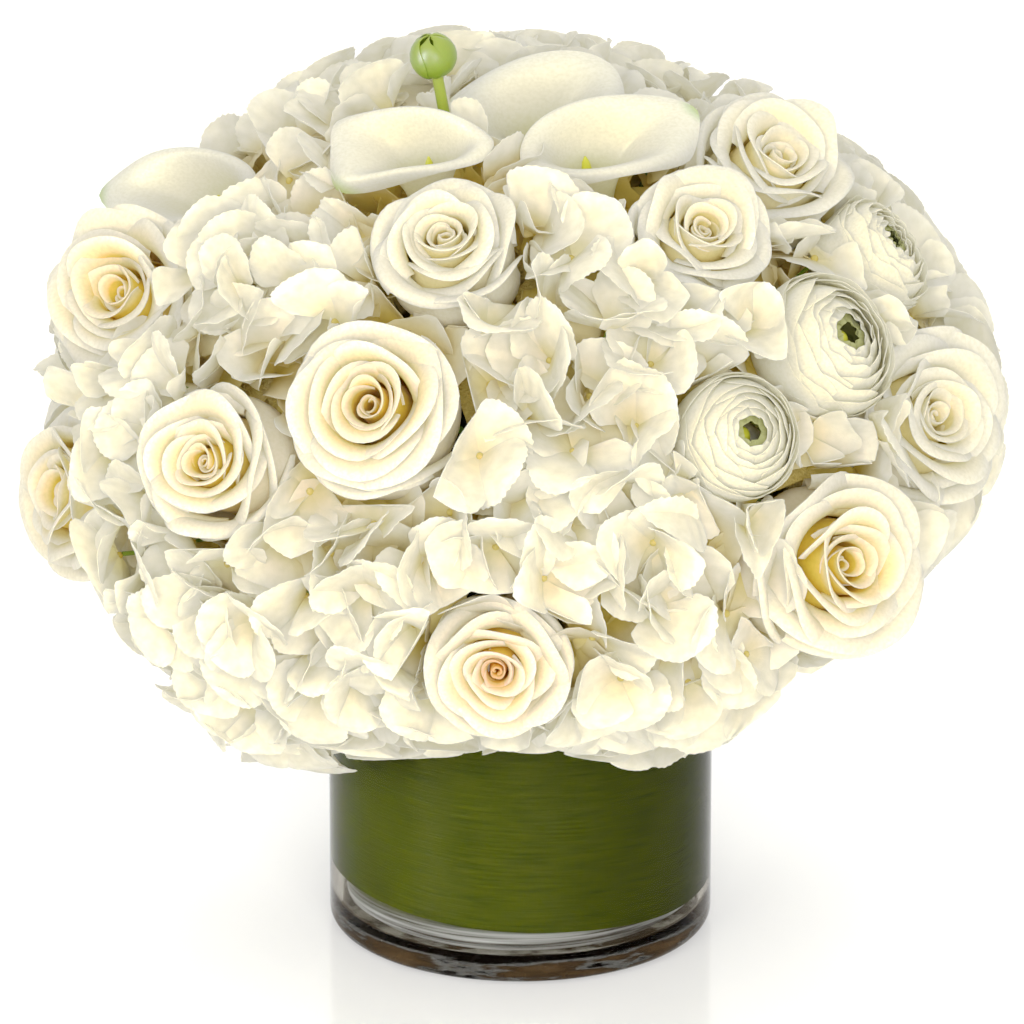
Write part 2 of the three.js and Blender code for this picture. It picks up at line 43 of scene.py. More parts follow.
# ---- Camera ----
# The picture is taken from the front and 20 degrees above, through a long lens, so that the vase's sides
# stay nearly upright.
LOOK_DOWN = radians(20)
AWAY = 4.5
FRAME_WIDE = 398.7 * MM
aim_at = np.array([-3.3, 0, 168.7]) * MM

scene = bpy.context.scene
camera_data = bpy.data.cameras.new("camera")
camera_data.lens = camera_data.sensor_width * AWAY / FRAME_WIDE


def stand(name, data, place=(0, 0, 0), turned=(0, 0, 0)):
    """A new object in the scene."""
    made = bpy.data.objects.new(name, data)
    made.location = place
    made.rotation_euler = turned
    scene.collection.objects.link(made)
    return made


scene.camera = stand(
    "camera", camera_data, aim_at + AWAY * np.array([0, -cos(LOOK_DOWN), sin(LOOK_DOWN)]),
    (pi / 2 - LOOK_DOWN, 0, 0))

# ---- Studio ----
# A white sweep with a little gloss in a bright white surround, under soft white boxes: a key high on the
# left, a wide one before the front, one behind and above for the rims of the petals, and a tall strip at
# the left that only glossy surfaces show. A tone curve holds the whites and opens the shadows.
world = bpy.data.worlds.new("studio")
scene.world = world
world.use_nodes = True
surround = world.node_tree.nodes["Background"]
surround.inputs["Color"].default_value = (1, 1, 1, 1)
surround.inputs["Strength"].default_value = 0.8

LIT_AT = np.array([0, 0, 0.2])  # where the boxes point
for name, place, size, power, tint in (
    ("key_box", (-0.8, -1.6, 1.3), 0.8, 9, (1.0, 0.98, 0.94)),
    ("front_box", (0.25, -2.3, 0.8), 1.4, 34, (1.0, 0.98, 0.93)),
    ("back_box", (0.2, 1.3, 1.7), 1.1, 8, (1.0, 1.0, 0.99)),
):
    light = bpy.data.lights.new(name, "AREA")
    light.shape = "DISK"
    light.size = size
    light.energy = power
    light.color = tint
    x, y, z = LIT_AT - np.array(place)
    stand(name, light, place, (atan2(hypot(x, y), -z), 0, atan2(-x, y)))

strip = bpy.data.lights.new("strip_box", "AREA")
strip.shape = "RECTANGLE"
strip.size, strip.size_y, strip.energy = 0.26, 1.4, 75
strip_turned = (radians(90), 0, radians(-54))
stand("strip_box", strip, (-1.7, -1.23, 0.6), strip_turned).visible_diffuse = False

developing = scene.view_settings
developing.view_transform = "Standard"
developing.use_curve_mapping = True
ALL_COLOURS = 3  # the curve that works on red, green and blue alike
for linear, shown in ((0.12, 0.20), (0.36, 0.45), (0.8, 0.77)):
    developing.curve_mapping.curves[ALL_COLOURS].points.new(linear, shown)
developing.curve_mapping.update()


class Finish:
    """A material made of nodes. What feeds a node is another node's result or a plain value."""

    def __init__(self, name):
        self.material = bpy.data.materials.new(name)
        self.material.use_nodes = True
        self.nodes = self.material.node_tree.nodes
        self.shader = self.nodes["Principled BSDF"]
        self.end = self.nodes["Material Output"]

    def feed(self, socket, value):
        """Joins an input to a result, or sets its value. A colour is red, green and blue."""
        if isinstance(value, bpy.types.NodeSocket):
            self.material.node_tree.links.new(value, socket)
        else:
            socket.default_value = (*value, 1) if socket.type == "RGBA" else value

    def add(self, kind, *feeds, **settings):
        """The results of a new node. Feeds go to its inputs in order, and settings by name."""
        made = self.nodes.new("ShaderNode" + kind)
        for socket, value in zip(made.inputs, feeds):
            self.feed(socket, value)
        for key, value in settings.items():
            if key in made.inputs:
                self.feed(made.inputs[key], value)
            else:
                setattr(made, key, value)
        return made.outputs

    def growth(self):
        """The mark of each point."""
        return self.add("Attribute", attribute_name="growth")["Vector"]

    def noise(self, spot, stretch, **settings):
        """Noise that is drawn out along the three parts of spot."""
        stretched = self.add("Mapping", Vector=spot, Scale=stretch)["Vector"]
        return self.add("TexNoise", Vector=stretched, **settings)["Fac"]

    def ramp(self, share, *stops, ease="LINEAR"):
        """A colour that follows share through its stops: the first, the last, then any between."""
        made = self.nodes.new("ShaderNodeValToRGB")
        self.feed(made.inputs["Fac"], share)
        made.color_ramp.interpolation = ease
        elements = made.color_ramp.elements
        for number, (place, colour) in enumerate(stops):
            stop = elements[number] if number < 2 else elements.new(place)
            stop.position = place
            stop.color = (*colour, 1)
        return made.outputs["Color"]

    def fade(self, value, low, high, most=1.0, ease="LINEAR"):
        """What goes from 0 to most while value goes from low to high."""
        return self.add("MapRange", value, low, high, 0.0, most, interpolation_type=ease)["Result"]

    def blend(self, share, first, second, how="MIX"):
        """Two colours mixed, by the second one's share."""
        made = self.nodes.new("ShaderNodeMix")
        made.data_type = "RGBA"
        made.blend_type = how
        for number, value in ((0, share), (6, first), (7, second)):
            self.feed(made.inputs[number], value)
        return made.outputs[2]

    def bumps(self, height, strength, deep):
        """Bumps on the surface, deep metres from low to high."""
        normal = self.add("Bump", Strength=strength, Distance=deep, Height=height)["Normal"]
        self.feed(self.shader.inputs["Normal"], normal)
        return normal

    def shows(self, **looks):
        """Feeds the surface shader's inputs, with _ for each space in their names."""
        for key, value in looks.items():
            self.feed(self.shader.inputs[key.replace("_", " ")], value)


SWEEP_HALF, SWEEP_LOW = 6, -0.0003  # in metres
sweep_corners = [(x * SWEEP_HALF, y * SWEEP_HALF, SWEEP_LOW)
                 for x, y in ((-1, -1), (1, -1), (1, 1), (-1, 1))]
floor_mesh = bpy.data.meshes.new("sweep")
floor_mesh.from_pydata(sweep_corners, [], [(0, 1, 2, 3)])
sweep = stand("sweep", floor_mesh)
white_board = Finish("white_board")
white_board.shows(
    Base_Color=(0.8, 0.8, 0.8), Roughness=0.13, Emission_Color=(1, 1, 1), Emission_Strength=0.32)
floor_mesh.materials.append(white_board.material)

# ---- Vase ----
# A heavy blown cylinder of clear glass, 150 mm each way, with a 4 mm wall, a thick base whose foot is
# rounded, and a fire-polished lip.
VASE_RADIUS, VASE_HEIGHT, VASE_WALL, VASE_FLOOR = 75, 150, 4, 10.5
FOOT_ROUND, LIP_ROUND, FLOOR_ROUND = 6, 1.5, 3
ROUND_STEPS = 160


def corner(middle, radius, start, end, steps):
    """Points of a rounded corner in (radius, height), from one angle to another in degrees."""
    angles = np.radians(np.linspace(start, end, steps))
    return [(middle[0] + radius * cos(a), middle[1] + radius * sin(a)) for a in angles]


def tube(rings, ends):
    """A closed body's points and faces, from rings of points in a row and the two points that end it."""
    sides = len(rings[0])
    here = np.arange(sides)
    after = (here + 1) % sides
    quads = [np.stack([here, after, after + sides, here + sides], 1) + k * sides
             for k in range(len(rings) - 1)]
    top = (len(rings) - 1) * sides
    first = len(rings) * sides
    caps = [np.stack([np.full(sides, first), after, here], 1),
            np.stack([np.full(sides, first + 1), here + top, after + top], 1)]
    return np.concatenate([*rings, ends]), [np.concatenate(quads), np.concatenate(caps)]


def turned(outline):
    """A body turned on the upright axis from an outline that starts and ends on it."""
    ring = np.arange(ROUND_STEPS) * 2 * pi / ROUND_STEPS
    rings = [np.stack([r * np.cos(ring), r * np.sin(ring), np.full(ROUND_STEPS, z)], 1)
             for r, z in outline[1:-1]]
    points, faces = tube(rings, [(0, 0, outline[0][1]), (0, 0, outline[-1][1])])
    return points, faces, np.zeros_like(points)


def make_piece(name, bodies, finish, replaced, crease=50):
    """One object from closed bodies. Each body is its points, its faces in blocks of one size, and a
    mark for each point that the finish reads: across the petal, along it, and how far out it grows,
    which in a hydrangea sepal is how near the heads' face it lies, for its painted golden shade."""
    loops, sizes, start = [], [], 0
    for points, blocks, _ in bodies:
        for block in blocks:
            loops.append((block + start).ravel())
            sizes.append(np.full(len(block), block.shape[1]))
        start += len(points)
    loops, sizes = np.concatenate(loops), np.concatenate(sizes)
    mesh = bpy.data.meshes.new(name)
    mesh.vertices.add(start)
    mesh.vertices.foreach_set("co", np.concatenate([b[0] for b in bodies]).ravel() * MM)
    mesh.loops.add(len(loops))
    mesh.loops.foreach_set("vertex_index", loops.astype(np.int32))
    mesh.polygons.add(len(sizes))
    mesh.polygons.foreach_set("loop_start", (np.cumsum(sizes) - sizes).astype(np.int32))
    mesh.update(calc_edges=True)
    mark = mesh.attributes.new("growth", "FLOAT_VECTOR", "POINT")
    mark.data.foreach_set("vector", np.concatenate([b[2] for b in bodies]).ravel())
    mesh.shade_smooth()
    mesh.set_sharp_from_angle(angle=radians(crease))
    mesh.materials.append(finish.material)
    piece = stand(name, mesh)
    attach(piece, "root")
    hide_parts(replaced)


BROWN_FROM, BROWN_FULL = 0.0105, 0.0085  # heights in metres
glass = Finish("vase_glass")
smear = glass.add("TexNoise", Scale=24.0, Detail=3.0)["Fac"]
thick_tint = glass.ramp(smear, (0, (0.8, 0.83, 0.78)), (1, (0.88, 0.9, 0.87)))
# The foot is tinted dark brown in patches, and lets less light through there.
spot = glass.add("NewGeometry")["Position"]
low = glass.fade(glass.add("SeparateXYZ", spot)["Z"], BROWN_FROM, BROWN_FULL)
patchy = glass.noise(spot, (30, 30, 220), Scale=1.0, Detail=5.0, Roughness=0.6)
brown_patch = glass.add(
    "Math", low, glass.fade(patchy, 0.42, 0.66, 0.55), operation="MULTIPLY")["Value"]
dense = glass.add("Math", brown_patch, 5.0, operation="MULTIPLY", use_clamp=True)["Value"]
glass.shows(
    IOR=1.08,
    Roughness=glass.fade(smear, 0.0, 1.0, 0.035),
    Transmission_Weight=glass.add("Math", 1.0, brown_patch, operation="SUBTRACT")["Value"],
    Base_Color=glass.blend(dense, thick_tint, (0.07, 0.042, 0.018)))
smoke = glass.add("VolumeAbsorption", Color=(0.50, 0.44, 0.36), Density=85.0)["Volume"]
glass.feed(glass.end.inputs["Volume"], smoke)

bore = VASE_RADIUS - VASE_WALL
outline = [
    (0, 0),
    *corner((VASE_RADIUS - FOOT_ROUND, FOOT_ROUND), FOOT_ROUND, -90, 0, 9),
    *corner((VASE_RADIUS - LIP_ROUND, VASE_HEIGHT - LIP_ROUND), LIP_ROUND, 0, 90, 6),
    *corner((bore + LIP_ROUND, VASE_HEIGHT - LIP_ROUND), LIP_ROUND, 90, 180, 6),
    *corner((bore - FLOOR_ROUND, VASE_FLOOR + FLOOR_ROUND), FLOOR_ROUND, 0, -90, 6),
    (0, VASE_FLOOR)]
make_piece("vase_glass", [turned(outline)], glass, "vase")

# ---- Leaf liner ----
# One long, strap-shaped leaf, rolled once round inside the glass with its veins level. Its lower edge
# was cut a little aslant, so it stands higher on the left.
LEAF_THICK, LEAF_CREEP, LEAF_LAP, LEAF_TOP = 0.7, 0.9, 20, 145
LEAF_LOW, LEAF_SLANT = 17.2, 3.8
LEAF_ROWS, LEAF_COLS = 30, 200
TUCK_FROM, TUCK_OVER = 335, 25  # degrees: where its end starts to tuck in, and over how many it does
WET = 0.05  # the leaf and the foam lie wet against the glass


def closed_sheet(grid, thick, marks, rim=0.35):
    """A thin closed body from a grid of middle points, thinner towards its edges."""
    rows, cols = grid.shape[:2]
    along = np.gradient(grid, axis=0)
    across_it = np.gradient(grid, axis=1)
    normal = np.cross(across_it, along)
    normal /= np.maximum(np.linalg.norm(normal, axis=2, keepdims=True), 1e-9)
    side = 1 - np.abs(np.linspace(-1, 1, cols)) ** 6
    end = 1 - np.linspace(0, 1, rows) ** 6
    swell = (rim + (1 - rim) * np.outer(end, side))[..., None] * thick / 2
    points = np.concatenate([(grid + normal * swell).reshape(-1, 3), (grid - normal * swell).reshape(-1, 3)])
    under = rows * cols
    i, j = np.meshgrid(np.arange(rows - 1), np.arange(cols - 1), indexing="ij")
    a = (i * cols + j).ravel()
    upper = np.stack([a, a + 1, a + cols + 1, a + cols], 1)
    lower = np.stack([a, a + cols, a + cols + 1, a + 1], 1) + under
    j = np.arange(cols - 1)
    e = (rows - 1) * cols + j
    i = np.arange(rows - 1) * cols
    f = i + cols - 1
    edges = [np.stack([a, b, under + b, under + a], 1)
             for a, b in ((j + 1, j), (e, e + 1), (i, i + cols), (f + cols, f))]
    marks = marks.reshape(-1, 3)
    return points, [np.concatenate([upper, lower, *edges])], np.concatenate([marks, marks])


def layered(*values):
    """A grid of three values a point, each of which may be one for a row, a column or all."""
    return np.stack(np.broadcast_arrays(*values), 2)


leaf_turns = np.radians(np.linspace(0, 360 + LEAF_LAP, LEAF_COLS))
leaf_rise = np.linspace(0, 1, LEAF_ROWS)[:, None]
leaf_tuck = LEAF_CREEP * np.clip((leaf_turns - radians(TUCK_FROM)) / radians(TUCK_OVER), 0, 1) ** 2
leaf_radius = bore + WET - LEAF_THICK / 2 - leaf_tuck
leaf_foot = LEAF_LOW + LEAF_SLANT * (1 - np.sin(leaf_turns)) + 0.25 * np.sin(5 * leaf_turns)
leaf_grid = layered(leaf_radius * np.sin(leaf_turns), leaf_radius * np.cos(leaf_turns),
                    leaf_foot + (LEAF_TOP - leaf_foot) * leaf_rise)

leaf = Finish("leaf_green")
veins = leaf.noise(leaf.growth(), (1.4, 60, 1), Scale=2.2, Detail=7.0, Roughness=0.65)
blade = leaf.ramp(veins, (0.3, (0.017, 0.024, 0.0003)), (0.72, (0.049, 0.060, 0.0006)))
patches = leaf.add("TexNoise", Scale=14.0, Detail=2.0)["Fac"]
browned = leaf.blend(leaf.fade(patches, 0.5, 0.75, 0.6), blade, (0.036, 0.045, 0.004))
leaf.shows(Base_Color=browned, Roughness=0.32, Specular_IOR_Level=0.04, Anisotropic=0.85,
           Anisotropic_Rotation=0.25)
leaf.bumps(veins, 0.5, 0.0006)

make_piece("vase_leaf_blade", [closed_sheet(leaf_grid, LEAF_THICK, layered(leaf_turns, leaf_rise, 0.0), 1)],
           leaf, "vase_leaf")

# ---- Foam, and where each stem goes into it ----
# A block of wet, fine-celled floral foam that stands above the rim, with a streaky foot: its pale
# grey-lilac streaks are painted reflection. Every stem is pushed towards one point in it, and the blooms'
# faces together make a dome. Each has its own cone.
FOAM_RADIUS, FOAM_TOP, FOAM_BEVEL = 68.5, 207, 18
FOOT_IN, FOOT_UP = 5, 4
REFLECTION_FROM, REFLECTION_FULL = 0.022, 0.0165  # heights in metres
foam = Finish("foam_cells")
wet = foam.add("TexNoise", Scale=30.0, Detail=4.0)["Fac"]
sponge = foam.ramp(wet, (0, (0.022, 0.016, 0.006)), (1, (0.07, 0.075, 0.02)))
place = foam.add("NewGeometry")["Position"]
streaks = foam.noise(place, (6, 6, 260), Scale=2.2, Detail=5.0)
# The pale grey-lilac streaks at the foot are painted reflection, set between darker streaks.
painted_reflection = foam.ramp(streaks, (0.38, (0.05, 0.04, 0.035)), (0.62, (0.88, 0.88, 0.95)))
foot = foam.fade(foam.add("SeparateXYZ", place)["Z"], REFLECTION_FROM, REFLECTION_FULL)
foam.shows(Base_Color=foam.blend(foot, sponge, painted_reflection), Roughness=0.85)
foam.bumps(foam.add("TexVoronoi", Scale=900.0)["Distance"], 0.6, 0.0008)
foam_outline = [
    (0, VASE_FLOOR - WET), (FOAM_RADIUS - FOOT_IN, VASE_FLOOR - WET), (FOAM_RADIUS, VASE_FLOOR + FOOT_UP),
    (FOAM_RADIUS, FOAM_TOP - FOAM_BEVEL), (FOAM_RADIUS - FOAM_BEVEL, FOAM_TOP), (0, FOAM_TOP)]
make_piece("foam_block", [turned(foam_outline)], foam, "foam", crease=30)

FOCUS = np.array([0.0, 0.0, 165.0])
DOME_RADIUS, DOME_MIDDLE, DOME_UP, DOME_DOWN = 184, 196, 153, 108
UPWARD = np.array([0.0, 0.0, 1.0])


def towards(turn, rise):
    """A direction: degrees round from the front to the right, and degrees above the level."""
    a, e = radians(turn), radians(rise)
    return np.array([cos(e) * sin(a), -cos(e) * cos(a), sin(e)])


# Where the dome swells out or draws in: which way, by how much, and how wide in degrees.
SWELLS = [(towards(-57, -27), 24, 18), (towards(34, -29), 18, 12), (towards(68, -17), -34, 20)]


def angle(one, other):
    """The angle between two directions."""
    return acos(np.clip(one @ other, -1, 1))


def drawn(out, way, places, sign=1):
    """Distances out, changed softly round each of some places by as much and as wide as it says."""
    for middle, by, wide in places:
        apart = np.arccos(np.clip(way @ middle, -1, 1))
        out = out + sign * by * np.exp(-((apart / radians(wide)) ** 2))
    return out


def reach(way):
    """How far the dome lies from the focus along one direction or many."""
    low = FOCUS[2] - DOME_MIDDLE
    flat = way[..., 0] ** 2 + way[..., 1] ** 2

    def far_side(tall):
        a = flat / DOME_RADIUS ** 2 + (way[..., 2] / tall) ** 2
        b = low * way[..., 2] / tall ** 2
        return (-b + np.sqrt(b * b - a * ((low / tall) ** 2 - 1))) / a

    upper = far_side(DOME_UP)
    return drawn(np.where(low + upper * way[..., 2] >= 0, upper, far_side(DOME_DOWN)), way, SWELLS)


def unit(vector):
    """The direction of a vector."""
    return vector / np.linalg.norm(vector)


def outward(way):
    """The dome's own direction outwards where way meets it."""
    x, y, z = way * reach(way)
    rise = FOCUS[2] + z - DOME_MIDDLE
    tall = DOME_UP if rise > 0 else DOME_DOWN
    return unit(np.array([x / DOME_RADIUS ** 2, y / DOME_RADIUS ** 2, rise / tall ** 2]))


def across(way, spin=0.0):
    """Two directions square to way, turned about it by spin degrees."""
    side = unit(np.array([1.0, 0, 0]) if abs(way[2]) > 0.98 else np.cross(UPWARD, way))
    other = np.cross(way, side)
    a = radians(spin)
    u = side * cos(a) + other * sin(a)
    return u, np.cross(way, u)


WIDEST_DEEP = 6  # how far below its face a bloom is widest


class Bloom:
    """Where one flower stands: its direction, the distance of its face, its radius and its cone."""

    def __init__(self, kind, number, turn, rise, radius, sink, spin=0, opened=0, lean=0):
        self.kind, self.number, self.name = kind, number, f"{kind}_{number}"
        self.way = towards(turn, rise)
        self.face = float(reach(self.way)) - sink
        self.radius = radius
        self.half = atan(radius / (self.face - WIDEST_DEEP))
        self.spin, self.opened, self.lean = spin, opened, lean


def flowers(kind, rows):
    """Blooms of one kind, from rows of what follows their number."""
    return [Bloom(kind, place + 1, *row) for place, row in enumerate(rows)]


# Each row: degrees round and up, radius, how far the face is sunk into the dome, degrees turned on the
# stem, how open it is, and degrees turned to the front.
ROSES = flowers("rose", [
    (-20, 32, 37, -4, 10, 0.8),
    (-42, 22, 32, -3, 50, 0.3, 10),
    (-3, 1, 30, 4, 80, 0.15),
    (42, 10, 39, -3, 20, 0.45, 12),
    (68, 21, 36, 1, 130, 0.5, 23),
    (-77, 34, 35, -4, 200, 0.8, 30),
    (-79, 8, 37, 2, 250, 0.3, 14),
    (76, 57, 33, -2, 300, 0.7, 22),
    (-15, 54, 31, 0, 160, 0.9),
    (38, 53, 30, 0, 220, 0.8, 10),
    (140, 34, 37, -3, 40, 0.5),
    (-140, 22, 36, -3, 100, 0.4),
])
RANUNCULI = flowers("ranunculus", [
    (29.5, 27.5, 26, -6, 0, 0.0),
    (50, 35, 31, -6, 70, 0.25),
    (76, 41, 27, -4, 140, 0.4),
    (-150, 50, 28, -4, 210, 0.4),
])
CALLAS = flowers("calla", [
    (-38, 67, 28, 0),
    (20, 86, 28, 4),
    (37, 70, 28, 0),
    (-95, 48, 27, 0),
])
BUD = Bloom("ranunculus_bud", 1, -52, 78, 7, 0)
FOCAL = [*ROSES, *RANUNCULI, *CALLAS, BUD]
HEADS = np.array([towards(turn, rise) for turn, rise in (
    (6, 33), (-38, 0), (22, -2), (-57, 47), (102, 12), (-108, 5), (168, 2), (160, 66))])

CLEAR = 0.4  # how far petals keep from a wall
SOFT_FROM = 0.8  # the share of the room from which petals give way
PRESS = 1.04  # a bloom's petals may reach this much past its own cone
PRESSED_UP = 0.015  # and rise by up to this share where they are pressed
NEIGHBOUR = 1.3  # how near a bloom is a neighbour, in its own and the other's cone


def middle_wall(mine, theirs):
    """The wall between two blooms, as its direction and how far out it stands."""
    return unit(theirs.way / cos(theirs.half) - mine.way / cos(mine.half)), -CLEAR


def cone_wall(axis, other, half):
    """The wall that keeps what grows along axis out of another bloom's cone."""
    beside = unit(other - axis * (axis @ other))
    turn = angle(axis, other) - half
    return beside * cos(turn) - axis * sin(turn), -CLEAR


def pressed(points, axis, walls, half=0.0):
    """Petals that meet a neighbour give way softly towards their own axis, and rise a little."""
    v = points - FOCUS
    depth = v @ axis
    along = depth[..., None] * axis
    off = v - along
    filled = np.zeros(depth.shape)
    if half:
        filled = np.linalg.norm(off, axis=-1) / np.maximum(depth * tan(half) - CLEAR, 1e-3)
    for normal, level in walls:
        room = np.maximum(level - along @ normal, 1e-3)
        filled = np.maximum(filled, np.maximum(off @ normal, 0) / room)
    soft = 1 - SOFT_FROM
    kept = SOFT_FROM + soft * (1 - np.exp(np.minimum(SOFT_FROM - filled, 0) / soft))
    tight = filled > SOFT_FROM
    squeeze = np.where(tight, kept / np.maximum(filled, 1e-9), 1)
    rise = np.where(tight, 1 + PRESSED_UP * np.minimum(filled - kept, 1), 1)
    return FOCUS + along * rise[..., None] + off * squeeze[..., None]


for bloom in FOCAL:
    bloom.walls = [middle_wall(bloom, other) for other in FOCAL if other is not bloom
                   and angle(other.way, bloom.way) < (other.half + bloom.half) * NEIGHBOUR]

# ---- Stems ----
# Fresh green stems, cut short: each runs straight from the foam to its flower, and swells to a calyx
# with five pointed sepals under a rose, or to a green heart in a ranunculus.
STEM_START = 25
STEM_SIDES, STEM_STATIONS = 14, 8
STEM_RADIUS = {"rose": 2.8, "ranunculus": 2.0, "calla": 3.2, "hydrangea": 3.0}
BLOOM_DEEP = {"rose": 46, "ranunculus": 38, "calla": 42}
SOCKET = 0.3  # how far a stem stops below the flower's underside
HEAD_SOCKET = 118
SEPAL_COUNT, SEPAL_THICK = 5, 0.9
# Under a rose the stem swells to its calyx: how far below the flower, and how wide.
CALYX = ((6, 4.2), (3, 5.8), (0.6, 6.4), (0, 5.6))
CALYX_FROM = 9


def rod(places, radii, sides=STEM_SIDES, mark=0.0):
    """A closed round rod along places, with a radius at each."""
    places = np.asarray(places, float)
    ways = np.gradient(places, axis=0)
    ways /= np.linalg.norm(ways, axis=1, keepdims=True)
    turn = np.arange(sides) * 2 * pi / sides
    u = across(ways[0])[0]
    rings = []
    for place, way, radius in zip(places, ways, radii):
        u = unit(u - way * (u @ way))
        v = np.cross(way, u)
        rings.append(place + radius * (np.cos(turn)[:, None] * u + np.sin(turn)[:, None] * v))
    points, faces = tube(rings, places[[0, -1]])
    marks = np.zeros_like(points)
    marks[:, 1] = np.concatenate([np.repeat(np.linspace(0, 1, len(rings)), sides), [0, 1]])
    marks[:, 2] = mark
    return points, faces, marks


stem = Finish("stem_green")
grown = stem.add("SeparateXYZ", stem.growth())
length_tint = stem.ramp(grown["Y"], (0, (0.06, 0.15, 0.012)), (1, (0.22, 0.36, 0.03)))
streaks = stem.add("TexNoise", Scale=160.0, Detail=4.0)
dappled = stem.blend(0.5, length_tint, streaks["Color"], "MULTIPLY")
heart_only = stem.add("Math", grown["Z"], 0.9, operation="GREATER_THAN")["Value"]
stem.shows(Base_Color=stem.blend(heart_only, dappled, (0.62, 0.62, 0.03)), Roughness=0.45,
           Subsurface_Weight=0.15, Subsurface_Radius=(0.001, 0.002, 0.0005))
stem.bumps(streaks["Fac"], 0.3, 0.0003)


def straight_rod(way, stations, **more):
    """A rod along one direction from the focus, through stations of a distance and a radius."""
    return rod([FOCUS + way * d for d, _ in stations], [r for _, r in stations], **more)


def stem_body(way, kind, end, extra=()):
    """The straight stem, and whatever stations top it."""
    stations = [(d, STEM_RADIUS[kind]) for d in np.linspace(STEM_START, end, STEM_STATIONS)]
    return straight_rod(way, stations + list(extra))


def grown_in(bloom, *steps):
    """A grid of a bloom's points, pressed in between its neighbours."""
    return pressed(laid(FOCUS, *steps), bloom.way, bloom.walls, bloom.half * PRESS)


def sheet_axes(rows, cols):
    """The two axes of a sheet: along it from 0 to 1, and across it from -1 to 1."""
    return np.linspace(0, 1, rows)[:, None], np.linspace(-1, 1, cols)[None, :]


def laid(middle, *steps):
    """A grid of points: middle, and from there along each direction by its distances."""
    for way, far in steps:
        middle = middle + way * far[..., None]
    return middle


def make_stalk(name, bodies):
    """What stands for one flower's stem."""
    make_piece(f"{name}_stalk", bodies, stem, f"{name}_stem")


def calyx_sepals(bloom, root):
    """Five narrow sepals that lie against the bloom's underside and curl away at their tips."""
    made = []
    t, s = sheet_axes(9, 5)
    wide = 4.2 * (1 - t) ** 0.7 * (0.55 + 0.9 * t)
    out = 4 + 18 * t ** 0.8 + 1.2 * s * s
    up = root - 5 + 11 * t - 9 * t ** 3
    marks = layered(s, 0.6 + 0.4 * t, 0.0)
    for n in range(SEPAL_COUNT):
        u, v = across(bloom.way, bloom.spin + n * 360 / SEPAL_COUNT)
        grid = grown_in(bloom, (bloom.way, up), (u, out), (v, s * wide))
        made.append(closed_sheet(grid, SEPAL_THICK, marks))
    return made


for bloom in ROSES:
    root = bloom.face - BLOOM_DEEP["rose"] - SOCKET
    bodies = [stem_body(bloom.way, "rose", root - CALYX_FROM, [(root - below, r) for below, r in CALYX])]
    bodies += calyx_sepals(bloom, root)
    make_stalk(bloom.name, bodies)

HEART_LOW, HEART_RADIUS, HEART_TALL = -11, 4.2, 5
HEART_RISE = 11  # how much higher the heart of a fully open flower stands
for bloom in RANUNCULI:
    low = bloom.face + HEART_LOW + HEART_RISE * bloom.opened
    dome = [(low + HEART_TALL * sin(a), HEART_RADIUS * max(cos(a), 0.05))
            for a in np.radians(np.linspace(0, 88, 7))]
    bodies = [stem_body(bloom.way, "ranunculus", low - 0.6, [(low - 0.2, 3.4)]),
              straight_rod(bloom.way, dome, sides=24, mark=1.0)]
    make_stalk(bloom.name, bodies)

# ---- Roses ----
# Full garden roses in cream white: two dozen petals in a spiral, tight and buttery at the heart, wide
# and pale outside, where each edge rolls back. One of them is blushed with peach.
chance = np.random.default_rng(41)


def petal_finish(name, base, middle, tip, heart, low=0.08, heart_and_shade_from=0.5, outer_pale=0.0, roughness=0.52,
                 vein_scale=5.0, rib=0.25, high=0.95):
    """Petal: a colour at its base, middle and tip, and another where it grows near the heart. In a
    hydrangea that other colour is painted golden shade where a sepal lies deep below the heads' face,
    and in every petal the colour at the base is partly its own, partly painted shade of the recesses.
    """
    petal = Finish(name)
    mark = petal.growth()
    grown = petal.add("SeparateXYZ", mark)
    # The golden towards a petal's base is partly its own colour, partly painted shade of the recesses.
    lengthwise = petal.ramp(grown["Y"], (low, base), (high, tip), ((low + high) / 2, middle), ease="EASE")
    # In a hydrangea the heart colour is painted golden shade, laid on sepals deep below the heads' face.
    near_heart_and_deep_shade = petal.fade(grown["Z"], heart_and_shade_from, 0.0, 0.85, "SMOOTHSTEP")
    outermost = petal.fade(grown["Z"], 0.5, 0.9, outer_pale, "SMOOTHSTEP")
    heart_and_shade_tinted = petal.blend(near_heart_and_deep_shade, petal.blend(outermost, lengthwise, tip), heart, "MULTIPLY")
    blotch = petal.add("TexNoise", Scale=45.0, Detail=3.0)["Fac"]
    shade = petal.ramp(blotch, (0.3, (0.93, 0.925, 0.86)), (0.62, (1, 1, 1)))
    toned = petal.blend(1, heart_and_shade_tinted, shade, "MULTIPLY")
    petal.shows(Base_Color=toned, Roughness=roughness, Specular_IOR_Level=0.3, Sheen_Weight=0.1,
                Sheen_Roughness=0.4)
    veins = petal.noise(mark, (vein_scale, 1.3, 37), Scale=2.0, Detail=5.0, Roughness=0.6)
    ribs = petal.bumps(veins, rib, 0.0002)
    glow = petal.add("BsdfTranslucent", Color=toned, Normal=ribs)["BSDF"]
    lit_through = petal.add("MixShader", 0.45, petal.shader.outputs["BSDF"], glow)["Shader"]
    petal.feed(petal.end.inputs["Surface"], lit_through)
    return petal


